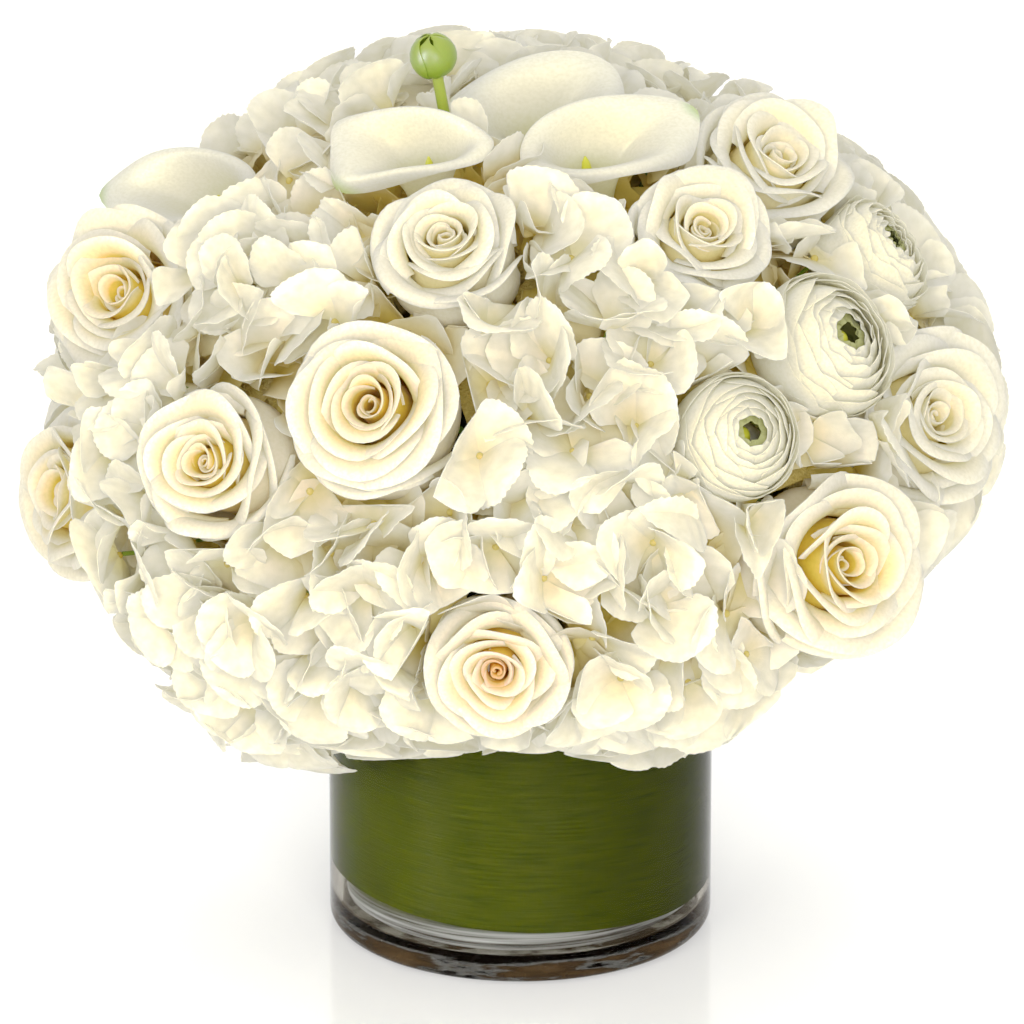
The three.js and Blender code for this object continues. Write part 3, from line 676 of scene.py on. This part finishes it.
# The strong golden towards each petal's base is partly the roses' own buttery colour, partly painted shade
# of the deep gaps between petals.
rose_cream = petal_finish(
    "rose_cream", (0.94, 0.68, 0.07), (0.955, 0.86, 0.42), (0.972, 0.952, 0.86), (1.0, 0.95, 0.72), low=0.4,
    outer_pale=0.8)
rose_peach = petal_finish(
    "rose_peach", (0.94, 0.60, 0.04), (0.955, 0.82, 0.36), (0.972, 0.948, 0.84), (1.0, 0.66, 0.22), low=0.4,
    heart_and_shade_from=0.36, outer_pale=0.8)

rose_pale = petal_finish(
    "rose_pale", (0.95, 0.80, 0.28), (0.965, 0.92, 0.66), (0.972, 0.957, 0.88), (1.0, 0.98, 0.86), low=0.35,
    outer_pale=0.8)

GOLDEN_TURN = 137.508
ROSE_PETALS, ROSE_THICK = 24, 1.0
FULL_ROSE = 37  # the radius of the rose that the heights and lengths below are for
# How a rose's petals change from its heart (0) to its outermost petal (1): where the petal's neck stands
# as a share of the rose's radius, how high it is, and how its rim rolls back from there.
ALONG_ROSE = [0, 0.12, 0.28, 0.5, 0.75, 1]
TIGHT_NECK = [0.04, 0.12, 0.21, 0.37, 0.58, 0.80]
OPEN_NECK = [0.06, 0.17, 0.30, 0.46, 0.63, 0.81]
NECK_HEIGHT = [-4, -1, -0.5, -1.5, -6, -13]
HALF_WRAP = [150, 125, 102, 84, 74, 66]
ROLL_LONG = [1.5, 4, 7, 10.5, 13.5, 15]
ROLL_TURN = [12, 38, 62, 88, 112, 124]
EDGE_DROP = [1, 2, 4, 6, 8, 9]
ROLL_ROWS = 7
FRONT = towards(0, 20)  # some of the roses at the sides turn their faces to the front
TO_FRONT_FROM = 0.25  # where a rose tips over to the front: this share of its radius behind its stem


def bowed(p, start, bend, end):
    """A soft bow from start (0) to end (1) that is drawn towards bend."""
    return (1 - p) ** 2 * start + 2 * p * (1 - p) * bend + p ** 2 * end


def rose_petal(rose, k):
    """One petal: a cupped sheet wrapped part of the way round the rose, whose rim rolls back."""
    q = k / (ROSE_PETALS - 1)
    r, opened = rose.radius, rose.opened
    size = r / FULL_ROSE
    necks = np.array(TIGHT_NECK) * (1 - opened) + np.array(OPEN_NECK) * opened

    def along(profile):
        return np.interp(q, ALONG_ROSE, profile)

    neck = r * along(necks)
    neck *= chance.uniform(0.93, 1.05)
    height = along(NECK_HEIGHT) * size + chance.normal(0, 0.8 + 1.2 * opened)
    half_wrap = radians(along(HALF_WRAP)) * chance.uniform(0.85, 1.12)
    body_rows, cols = 7, 19
    t, s = sheet_axes(body_rows, cols)
    t = t ** 0.8
    side = np.abs(s)
    drop = along(EDGE_DROP) * size * side ** 2.4
    root = (3 + 5 * q, -BLOOM_DEEP["rose"] + 2)
    belly = (neck * (1.12 + 0.25 * q) + 2, -30 * size)
    out = bowed(t, root[0], belly[0], neck) + 0 * s
    high = bowed(t, root[1], belly[1], height - drop)
    wave = chance.uniform(0, 2 * pi)
    x = np.linspace(0, 1, ROLL_ROWS + 1)[1:, None]
    turned_out = np.radians(along(ROLL_TURN) * chance.uniform(0.8, 1.15)
                            * (0.86 + 0.24 * side ** 1.5 + 0.16 * np.sin(wave + 3.1 * s)))
    start_lean = atan2(neck - belly[0], height - belly[1])
    lean = start_lean + (turned_out - start_lean) * x ** 0.9
    long = (along(ROLL_LONG) * size * chance.uniform(0.8, 1.15)
            * (1 - 0.35 * side ** 3 + 0.12 * np.exp(-((s / 0.22) ** 2)) * q))
    step = long / ROLL_ROWS
    out = np.concatenate([out, out[-1:] + np.cumsum(step * np.sin(lean), 0)])
    high = np.concatenate([high, high[-1:] + np.cumsum(step * np.cos(lean), 0)])
    t = sheet_axes(body_rows + ROLL_ROWS, cols)[0]
    out = out + (1.2 + 1.4 * q) * s * t * (1 if k % 6 else -0.5)
    out = out + (0.5 + 1.0 * q) * t ** 2 * np.sin(wave + 4.2 * s)
    high = high + (0.3 + 0.8 * q) * t ** 2 * np.sin(2.1 * wave + 5.6 * s)
    spread = half_wrap * (0.42 + 0.58 * np.sin(np.minimum(t * 1.6, 1) * pi / 2))
    turn = radians(rose.spin + GOLDEN_TURN * k + chance.normal(0, 7)) + s * spread
    u, v = across(rose.way)
    drift = (1 - q) * q * opened * 6 * size
    flat = np.maximum(out, 0.6)
    to_front = unit(FRONT - rose.way * (FRONT @ rose.way))
    by_u, by_v = flat * np.cos(turn), flat * np.sin(turn)
    nearer = by_u * (u @ to_front) + by_v * (v @ to_front)
    sunk = tan(radians(rose.lean)) * np.clip(1 + high / BLOOM_DEEP["rose"], 0, 1)
    high = high - sunk * (nearer + TO_FRONT_FROM * r)
    grid = grown_in(
        rose, (rose.way, rose.face + high), (u, by_u + drift * chance.normal() * t),
        (v, by_v + drift * chance.normal() * t))
    return closed_sheet(grid, ROSE_THICK, layered(s, t, q))


ROSE_FINISH = {3: rose_peach, 5: rose_pale, 8: rose_pale, 9: rose_pale, 10: rose_pale}
for rose in ROSES:
    bodies = [rose_petal(rose, k) for k in range(ROSE_PETALS)]
    finish = ROSE_FINISH.get(rose.number, rose_cream)
    make_piece(f"{rose.name}_petals", bodies, finish, rose.name)

# ---- Ranunculus ----
# Papery white flowers of forty-eight thin petals in eight rings, laid ring over ring and closing over a
# green heart. The outer rings of a more open flower stand further back.
ranunculus_white = petal_finish(
    "ranunculus_white", (0.80, 0.76, 0.26), (0.96, 0.93, 0.68), (0.972, 0.952, 0.82), (0.40, 0.43, 0.08),
    heart_and_shade_from=0.14, outer_pale=0.5, roughness=0.48, vein_scale=14.0, rib=0.3)
RANUNCULUS_RINGS, RANUNCULUS_ROUND = 8, 6
RANUNCULUS_THICK = 0.5
ALONG_RINGS = [0, 0.3, 0.65, 1]
RIM_AT = [12, 26, 44, 68]  # degrees from the top at which the petals of a ring end
RIM_OPEN = 10  # and how many more the outermost do in an open flower
FOOT_AT = radians(172)


def ranunculus_petal(flower, ring, n):
    """One of the petals that close over the ball like an onion's skins, each ring ending lower."""
    q = ring / (RANUNCULUS_RINGS - 1)
    r, opened = flower.radius, flower.opened
    shell = r * (0.64 + 0.36 * q) * chance.uniform(0.985, 1.015)
    middle = -0.66 * r
    rim_at = np.interp(q, ALONG_RINGS, [*RIM_AT[:-1], RIM_AT[-1] + RIM_OPEN * opened])
    rim_at = rim_at * chance.uniform(0.94, 1.06)
    t, s = sheet_axes(12, 13)
    wave = chance.uniform(0, 2 * pi)
    rim_at = np.radians(rim_at + 13 * (0.05 + 0.95 * q) * np.abs(s) ** 2.4
                        + (1 + 2 * opened) * np.sin(wave + 4 * s))
    polar = FOOT_AT + (rim_at - FOOT_AT) * t ** 0.9
    lip = np.clip((t - 0.82) / 0.18, 0, 1) ** 2
    ball = shell + (0.9 + 2.2 * opened * q) * lip + 0.35 * s * t
    below = (BLOOM_DEEP["ranunculus"] - 2 + middle) / shell
    out = np.maximum(ball * np.sin(polar), 2.2)
    high = middle + ball * np.cos(polar) * np.where(np.cos(polar) > 0, 1, below)
    high = high + (0.3 + 0.8 * opened) * t ** 3 * np.sin(2.3 * wave + 7 * s)
    spread = radians(44) * (0.45 + 0.55 * np.sin(np.minimum(t * 1.5, 1) * pi / 2))
    turn = radians(
        flower.spin + 360 * n / RANUNCULUS_ROUND + 34 * ring + chance.normal(0, 5)) + s * spread
    u, v = across(flower.way)
    grid = grown_in(
        flower, (flower.way, flower.face + high), (u, out * np.cos(turn)), (v, out * np.sin(turn)))
    return closed_sheet(grid, RANUNCULUS_THICK, layered(s, t, q))


for flower in RANUNCULI:
    bodies = [ranunculus_petal(flower, ring, n)
              for ring in range(RANUNCULUS_RINGS) for n in range(RANUNCULUS_ROUND)]
    make_piece(f"{flower.name}_petals", bodies, ranunculus_white, flower.name)

# ---- Ranunculus bud ----
# A closed green bud that stands up out of the blooms on its own straight stem, wrapped in nine scales
# that overlap.
BUD_RISE, BUD_BALL = 12, 8.8
BUD_SCALES, SCALE_TURN, SCALE_THICK = 9, 75, 0.9
bud_centre = FOCUS + BUD.way * (BUD.face + BUD_RISE + BUD_BALL * 0.7)
bud_bodies = [rod([FOCUS + BUD.way * d for d in np.linspace(STEM_START, BUD.face + BUD_RISE + 2, 10)],
                  np.linspace(2.4, 2.2, 10))]
t, s = sheet_axes(13, 13)
for n in range(BUD_SCALES):
    q = n / (BUD_SCALES - 1)
    u, v = across(BUD.way, SCALE_TURN * n)
    lean = radians(-88) + radians(176 - 3 * (1 - q)) * t
    ball = BUD_BALL * (0.9 + 0.1 * q) + 0.25 * s
    turn = s * radians(62) * np.sin(np.clip(t * 1.15, 0, 1) * pi * 0.93 + 0.1) ** 0.7
    flat = ball * np.cos(lean)
    grid = laid(
        bud_centre, (BUD.way, ball * np.sin(lean)), (u, flat * np.cos(turn)), (v, flat * np.sin(turn)))
    bud_bodies.append(closed_sheet(grid, SCALE_THICK, layered(s, t, q), 0.3))
bud = Finish("bud_green")
bud_grown = bud.add("SeparateXYZ", bud.growth())
bud_tint = bud.ramp(bud_grown["Y"], (0, (0.11, 0.24, 0.008)), (1, (0.33, 0.44, 0.03)))
ribbing = bud.add("TexNoise", Scale=220.0, Detail=3.0)["Color"]
bud.shows(Base_Color=bud.blend(0.45, bud_tint, ribbing, "MULTIPLY"), Roughness=0.4,
          Subsurface_Weight=0.2, Subsurface_Radius=(0.001, 0.002, 0.0004))
make_piece("ranunculus_bud_scales", bud_bodies, bud, "ranunculus_bud")

# ---- Calla lilies ----
# Four smooth white spathes, each one waxy sheet rolled into a funnel round a spadix, flared at the mouth
# and drawn out to a greenish point.
# The yellow-green down in the throat is partly the spathe's own tint, partly painted shade of the funnel.
calla_wax = petal_finish(
    "calla_wax", (0.80, 0.79, 0.40), (0.945, 0.92, 0.74), (0.955, 0.945, 0.86), (0.62, 0.78, 0.25),
    low=0.15, roughness=0.36, vein_scale=22.0, rib=0.12)
THROAT, THROAT_BEND = 4.4, 17
SPADIX_END = 0.62  # how far up the throat the spadix reaches
SPADIX_RADII = [2.2, 2.3, 2.4, 2.4, 2.4, 2.3, 2.2, 2.0, 1.5, 0.4]
SPATHE_THICK = 1.4
CALLA_ROWS, CALLA_COLS = 40, 73
# Each spathe's limb: which way it faces, its half width and half height, its slant, how far its middle
# lies to the right of the stem and above it, where the throat opens, and its lobes: the turn of each
# one, how much longer it makes the limb, and how wide it is. The first lobe is the green point.
CALLA_LIMBS = {
    1: dict(faces=(-20, 42), half=(31, 16), slant=3, off=(-1, 5), hollow=(6, 7),
            lobes=((235, 12, 24), (160, 5, 24), (14, 4, 26))),
    2: dict(faces=(-5, 38), half=(35, 20), slant=22, off=(1, -1), hollow=(2, -8),
            lobes=((182, 5, 22), (350, 4, 20))),
    3: dict(faces=(5, 45), half=(35, 20), slant=10, off=(-4, 2), hollow=(-14, 1),
            lobes=((25, 5, 24), (330, 4, 24), (205, 2, 24))),
    4: dict(faces=(-40, 34), half=(34, 19), slant=12, off=(-6, -9), hollow=(4, -4),
            lobes=((195, 10, 22), (20, 3, 30))),
}


def calla_frame(calla):
    """Which way the limb faces, its right and its up, and the throat's root, bend and mouth."""
    limb = CALLA_LIMBS[calla.number]
    facing = towards(*limb["faces"])
    right = unit(np.cross(UPWARD, facing))
    up = np.cross(facing, right)
    root = FOCUS + calla.way * (calla.face - BLOOM_DEEP["calla"])
    hollow = limb["hollow"]
    mouth = FOCUS + calla.way * calla.face + right * hollow[0] + up * hollow[1]
    return facing, right, up, (root, mouth - facing * THROAT_BEND, mouth)


def calla_spathe(calla):
    """One sheet from the narrow throat to the wide limb, lapped at one side, with its rim rolled back."""
    limb = CALLA_LIMBS[calla.number]
    facing, right, up, throat = calla_frame(calla)
    hollow = limb["hollow"]
    s = np.linspace(0, 1, CALLA_ROWS)[:, None]
    c = np.linspace(0, 1, CALLA_COLS)[None, :]
    lap = np.clip((c - 0.94) / 0.06, 0, 1)
    round_it = 2 * pi * c * 1.06 - 0.6
    slant = radians(limb["slant"])
    longer = np.zeros_like(round_it)
    near_point = None
    for lobe_turn, lobe_long, lobe_wide in limb["lobes"]:
        apart = (round_it - radians(lobe_turn) + slant + pi) % (2 * pi) - pi
        bump = np.exp(-np.abs(apart / radians(lobe_wide)) ** 1.5)
        longer = longer + lobe_long * bump
        near_point = bump if near_point is None else near_point
    a = (limb["half"][0] + longer) * np.cos(round_it)
    b = (limb["half"][1] + longer) * np.sin(round_it)
    rim_right = limb["off"][0] + a * cos(slant) - b * sin(slant)
    rim_up = limb["off"][1] + a * sin(slant) + b * cos(slant)
    spread = 0.4 * s + 0.6 * s ** 2.6
    rolled = np.clip((s - 0.8) / 0.2, 0, 1)
    low_lip = np.clip(-np.sin(round_it), 0, 1)
    back = (3 + 6 * low_lip) * rolled ** 2 * (1 + 0.4 * np.sin(3 * round_it + calla.number))
    back = back + 5 * spread * np.cos(round_it - slant) ** 2 + 4 * spread * np.sin(round_it)
    trunk = THROAT + 0.7 * lap
    start = np.stack(np.broadcast_arrays(trunk * np.cos(round_it), trunk * np.sin(round_it)), 0)
    reach_in = 1 - 0.06 * rolled ** 2
    side_right = start[0] * (1 - spread) + (rim_right - hollow[0]) * spread * reach_in
    side_up = start[1] * (1 - spread) + (rim_up - hollow[1]) * spread * reach_in
    centre = bowed(1 - (1 - s[..., None]) ** 1.35, *throat)
    grid = laid(centre, (right, side_right), (up, side_up), (-facing, back + 0.9 * lap * s))
    near_point = near_point * np.clip((s - 0.6) / 0.4, 0, 1) ** 2
    return closed_sheet(grid, SPATHE_THICK, layered(2 * c - 1, 0.1 + 0.9 * s, 1 - near_point), 0.5)


for calla in CALLAS:
    make_piece(f"{calla.name}_spathe", [calla_spathe(calla)], calla_wax, calla.name)
    end = calla.face - BLOOM_DEEP["calla"] - SOCKET
    throat = calla_frame(calla)[3]
    spadix = [bowed(p, *throat) for p in np.linspace(0.02, SPADIX_END, len(SPADIX_RADII))]
    bodies = [stem_body(calla.way, "calla", end, [(end + 0.8, 2.2)]), rod(spadix, SPADIX_RADII, mark=1.0)]
    make_stalk(calla.name, bodies)

# ---- Hydrangea heads ----
# Eight heads fill the space between: hundreds of florets, each four broad, finely toothed sepals round
# a small golden bead, on thin stalks that branch from the head's stem. They lie in layers
# over a tight mass of stalks. The golden of the deeper sepals and of that mass is painted shade.
# The sepals turn golden the deeper they lie below the heads' face: painted shade of the gaps between
# florets. The yellow at each sepal's base is partly its own colour, partly painted shade.
hydrangea_white = petal_finish(
    "hydrangea_white", (0.95, 0.89, 0.56), (0.965, 0.94, 0.80), (0.972, 0.958, 0.875), (0.80, 0.62, 0.05),
    heart_and_shade_from=0.9, roughness=0.6, vein_scale=7.0, rib=0.4)
HANG = radians(16)
RIM_CLEAR = 4
LOWEST = radians(-34)
OVER_DOME, OVER_SOFT = 5.0, 10
# The heads sink in under the side roses, at the top right and round the foot of the dome.
DIPS = [(towards(-84, -15), 46, 17), (towards(62, -30), 44, 17), (towards(95, 68), 14, 20),
        (towards(0, -36), 14, 26),
        (towards(-82, -38), 20, 13), (towards(76, -42), 18, 13), (towards(90, -6), 17, 13)]
FLORET_ROOT = 43
# Sepals deep below the heads' face take a painted golden shade:
SHADE_FROM_DEPTH, SHADE_FULL_DEPTH = 3, 25  # how far below the face a sepal starts to be golden, and is fully so
BESIDE = radians(13)  # how near a calla the florets lie lower
NEAR_CONE = radians(16)  # how near another bloom's cone a floret gives way to it
# The layers of florets: how far apart they stand, how many degrees off another bloom's cone, the count and
# start of their lattice, how deep they lie, how much more by chance and beside a calla, their size, the
# most they lean, and the grid of a sepal.
OUTER = dict(gap=20.5, fringe=1.5, count=3400, phase=0.0, deep=8, vary=9, beside=12, size=26, lean=56,
             grid=(7, 41))
INNER = dict(gap=25, fringe=-3, count=3000, phase=1.1, deep=23, vary=6, beside=16, size=25, lean=35,
             grid=(5, 13))
DEEP = dict(gap=20, fringe=-7, count=3000, phase=2.3, deep=44, vary=5, beside=0, size=25, lean=25,
            grid=(5, 13))
FLORET_THICK = 0.5
SEPAL_FAN = 118  # degrees round a sepal's rim, from its tip to either end
TOOTH = 0.02


def off_rim(points, way):
    """Keeps petals that hang over the vase's rim outside a cone that opens downwards from it."""
    flat = unit(np.array([way[0], way[1], 0.0]))
    inwards = -flat * cos(HANG) - UPWARD * sin(HANG)
    rim = flat * (VASE_RADIUS + RIM_CLEAR) + UPWARD * (VASE_HEIGHT + RIM_CLEAR)
    over = np.maximum((points - rim) @ inwards, 0)
    return points - over[..., None] * inwards


def floret_places(layer):
    """An even lattice over the dome by the golden angle, thinned so that florets stand apart."""
    golden = pi * (3 - sqrt(5))
    k = np.arange(layer["count"])
    z = 1 - (2 * k + 1) / layer["count"]
    flat = np.sqrt(1 - z * z)
    turn = golden * k + layer["phase"]
    ways = np.stack([flat * np.cos(turn), flat * np.sin(turn), z], 1)
    kept = []
    for way, far in zip(ways, reach(ways)):
        if way[2] < sin(LOWEST):
            continue
        if any(angle(f.way, way) < f.half + radians(layer["fringe"]) for f in FOCAL):
            continue
        if kept and (np.array(kept) @ way).max() > cos(layer["gap"] / far):
            continue
        kept.append(way)
    return np.array(kept)


def nearest_head(ways):
    """Which head a direction, or each of many, belongs to."""
    return np.argmax(ways @ HEADS.T, axis=-1)


def hydrangea_sepal(centre, w, u, v, long, wide, lift, twist, rows, cols):
    """A fan-shaped sepal: from a narrow claw to a broad, finely toothed rim, folded and cupped."""
    t, b = sheet_axes(rows, cols)
    t = t ** 0.8
    round_it = np.radians(SEPAL_FAN) * b
    ragged = np.array([chance.uniform(0.2, 1) * (1 if j % 2 else -1) for j in range(cols)])
    notch = 1 + TOOTH * ragged * t ** 6
    ax = long * (0.5 + 0.5 * np.cos(round_it)) * notch
    bx = 0.5 * wide * np.sin(round_it) * notch
    ax = 0.04 * long * (1 - t) + t * ax
    bx = t * bx + (1 - t) * 0.05 * wide * b
    side = bx / (wide / 2)
    wave = chance.uniform(0, 2 * pi)
    fold = chance.uniform(-3, 7)
    up = (fold * (np.sqrt(side ** 2 + 0.02) - 0.14) * t
          + chance.uniform(-13, 2) * (ax / long) ** 2
          + chance.uniform(-3, 3) * side * t
          + chance.uniform(0.8, 2.2) * np.sin(2.2 * round_it + wave) * t ** 2
          + 0.3 * np.sin(9 * round_it + 3 * wave) * t ** 2)
    ca, sa = cos(lift), sin(lift)
    ax, up = ax * ca - up * sa, ax * sa + up * ca
    up = up + bx * sin(twist)
    return laid(centre, (u, ax), (v, bx), (w, up)), layered(b, t, t)


def head_reach(way):
    """How far out the hydrangea heads come: the dome, less the dips."""
    return drawn(reach(way), way, DIPS, -1)


def within_dome(points):
    """Lets no petal stand out beyond the heads by more than a little."""
    v = points - FOCUS
    far = np.linalg.norm(v, axis=-1, keepdims=True)
    limit = head_reach(v / far)[..., None] + OVER_DOME
    over = np.maximum(far - limit, 0)
    return points - v / far * (over * over / (over + OVER_SOFT))


def beside_calla(way):
    """How near a calla: 1 at its cone, 0 from some way off."""
    gaps = [angle(f.way, way) - f.half for f in CALLAS]
    return min(max(1 - min(gaps) / BESIDE, 0), 1)


def floret(way, layer, walls):
    """Four sepals round a bead, leaning and folding by chance, pressed between the neighbours."""
    depth = layer["deep"] + layer["vary"] * chance.uniform() + layer["beside"] * beside_calla(way)
    size = layer["size"]
    tilt = radians(layer["lean"]) * chance.uniform(0, 1) ** 0.7
    normal = outward(way)
    side = across(normal, chance.uniform(0, 360))[0]
    w = normal * cos(tilt) + side * sin(tilt)
    centre = FOCUS + way * (head_reach(way) - depth)
    start = chance.uniform(0, 90)
    made = []
    cupped = chance.uniform(0.15, 1.0)
    for n in range(4):
        u, v = across(w, start + 90 * n + chance.normal(0, 8))
        lift = cupped + chance.normal(0, 0.2)
        grid, marks = hydrangea_sepal(
            centre, w, u, v, size * chance.uniform(0.85, 1.15), size * chance.uniform(1.0, 1.25),
            lift, chance.normal(0.25, 0.14), *layer["grid"])
        grid = off_rim(within_dome(pressed(grid, way, walls)), way)
        # How deep below the heads' face each point lies, for its painted golden shade.
        from_focus = grid - FOCUS
        far = np.linalg.norm(from_focus, axis=-1)
        below = head_reach(from_focus / far[..., None]) - far
        marks[..., 2] = np.clip(1 - (below - SHADE_FROM_DEPTH) / (SHADE_FULL_DEPTH - SHADE_FROM_DEPTH), 0, 1)
        made.append(closed_sheet(grid, FLORET_THICK, marks))
    return made, centre, w


def cone_walls(way, share=1.0):
    """The walls towards the blooms near a floret, at a share of their cones."""
    return [cone_wall(way, f.way, f.half * share) for f in FOCAL
            if f.half < angle(f.way, way) < f.half + NEAR_CONE]


FLORET_NEAR, FLORET_ROOM = 46, 12.0  # how near a floret is a neighbour, and how far off its wall is
INNER_CONE = 0.96
spots = floret_places(OUTER)
petals = [[] for _ in HEADS]
stalks = [[] for _ in HEADS]
for number, (way, head) in enumerate(zip(spots, nearest_head(spots))):
    walls = cone_walls(way)
    close = (spots @ way > cos(FLORET_NEAR / reach(way))) & (np.arange(len(spots)) != number)
    for other in spots[close]:
        walls.append((unit(other - way), FLORET_ROOM))
    made, centre, w = floret(way, OUTER, walls)
    petals[head] += made
    bead = [centre + w * d for d in (-0.6, 0.2, 1.2, 2.0, 2.4)]
    petals[head].append(rod(bead, [1.0, 1.5, 1.5, 1.0, 0.3], 8))
    root = off_rim(FOCUS + way * (head_reach(way) - FLORET_ROOT), way)
    stalks[head].append(rod(
        [root, root * 0.6 + centre * 0.4 + w * -1.5, centre - w * 0.8], [1.1, 0.8, 0.9], 6, mark=0.5))

inner = floret_places(INNER)
for way, head in zip(inner, nearest_head(inner)):
    petals[head] += floret(way, INNER, cone_walls(way, INNER_CONE))[0]

# A few florets lie deep between the callas' stems, so that no hole shows from above.
for way in floret_places(DEEP):
    if {f.kind for f in FOCAL if angle(f.way, way) < f.half} == {"calla"}:
        petals[nearest_head(way)] += floret(way, DEEP, [])[0]

# The mass is golden as painted shade of the deep gaps, varying by chance like tangled stalks.
stalks_and_shade = Finish("stalks_painted_shade")
tangle = stalks_and_shade.add("TexNoise", Scale=120.0, Detail=6.0)["Fac"]
depth_tint = stalks_and_shade.ramp(tangle, (0, (0.45, 0.29, 0.03)), (1, (0.90, 0.70, 0.20)))
stalks_and_shade.shows(Base_Color=depth_tint, Roughness=0.8)
stalks_and_shade.bumps(tangle, 0.8, 0.002)
MASS_DEEP, MASS_ROUGH, MASS_THICK, MASS_SLOPE = 33, 2.5, 7, 6
MASS_OPEN = 0.9  # the share of another bloom's cone that the mass leaves open


def heart_of_head(head):
    """The tight mass of stalks under one head's florets: a thick shell, open round the other blooms. Its
    golden colour is painted shade of the gaps between florets.
    """
    ball = bmesh.new()
    bmesh.ops.create_icosphere(ball, subdivisions=5, radius=1)
    ways = np.array([v.co for v in ball.verts])
    faces = np.array([[v.index for v in f.verts] for f in ball.faces])
    ball.free()
    ways /= np.linalg.norm(ways, axis=1, keepdims=True)
    middles = ways[faces].mean(1)
    middles /= np.linalg.norm(middles, axis=1, keepdims=True)
    mine = (nearest_head(middles) == head) & (middles[:, 2] > sin(LOWEST))
    for f in FOCAL:
        mine &= middles @ f.way < cos(f.half * MASS_OPEN)
    used, faces = np.unique(faces[mine], return_inverse=True)
    faces = faces.reshape(-1, 3)
    ways = ways[used]
    rough = np.array([chance.uniform(-MASS_ROUGH, MASS_ROUGH) for _ in ways])
    far = (head_reach(ways) - MASS_DEEP + rough)[:, None]
    outer = np.array([off_rim(FOCUS + w * d, w) for w, d in zip(ways, far)])
    under = np.array([off_rim(FOCUS + w * (d - MASS_THICK), w) - w * MASS_SLOPE for w, d in zip(ways, far)])
    n = len(outer)
    edges = np.concatenate([faces[:, [0, 1]], faces[:, [1, 2]], faces[:, [2, 0]]])
    have = {(a, b) for a, b in edges}
    rim = np.array([(b, a, a + n, b + n) for a, b in have if (b, a) not in have])
    points = np.concatenate([outer, under])
    return points, [np.concatenate([faces, faces[:, ::-1] + n]), rim], np.zeros_like(points)


for number, way in enumerate(HEADS):
    name = f"hydrangea_{number + 1}"
    make_piece(f"{name}_heart", [heart_of_head(number)], stalks_and_shade, name)
    make_piece(f"{name}_florets", petals[number], hydrangea_white, name)
    stalks[number].append(stem_body(way, "hydrangea", HEAD_SOCKET))
    make_piece(f"{name}_stalks", stalks[number], stem, f"{name}_stem")
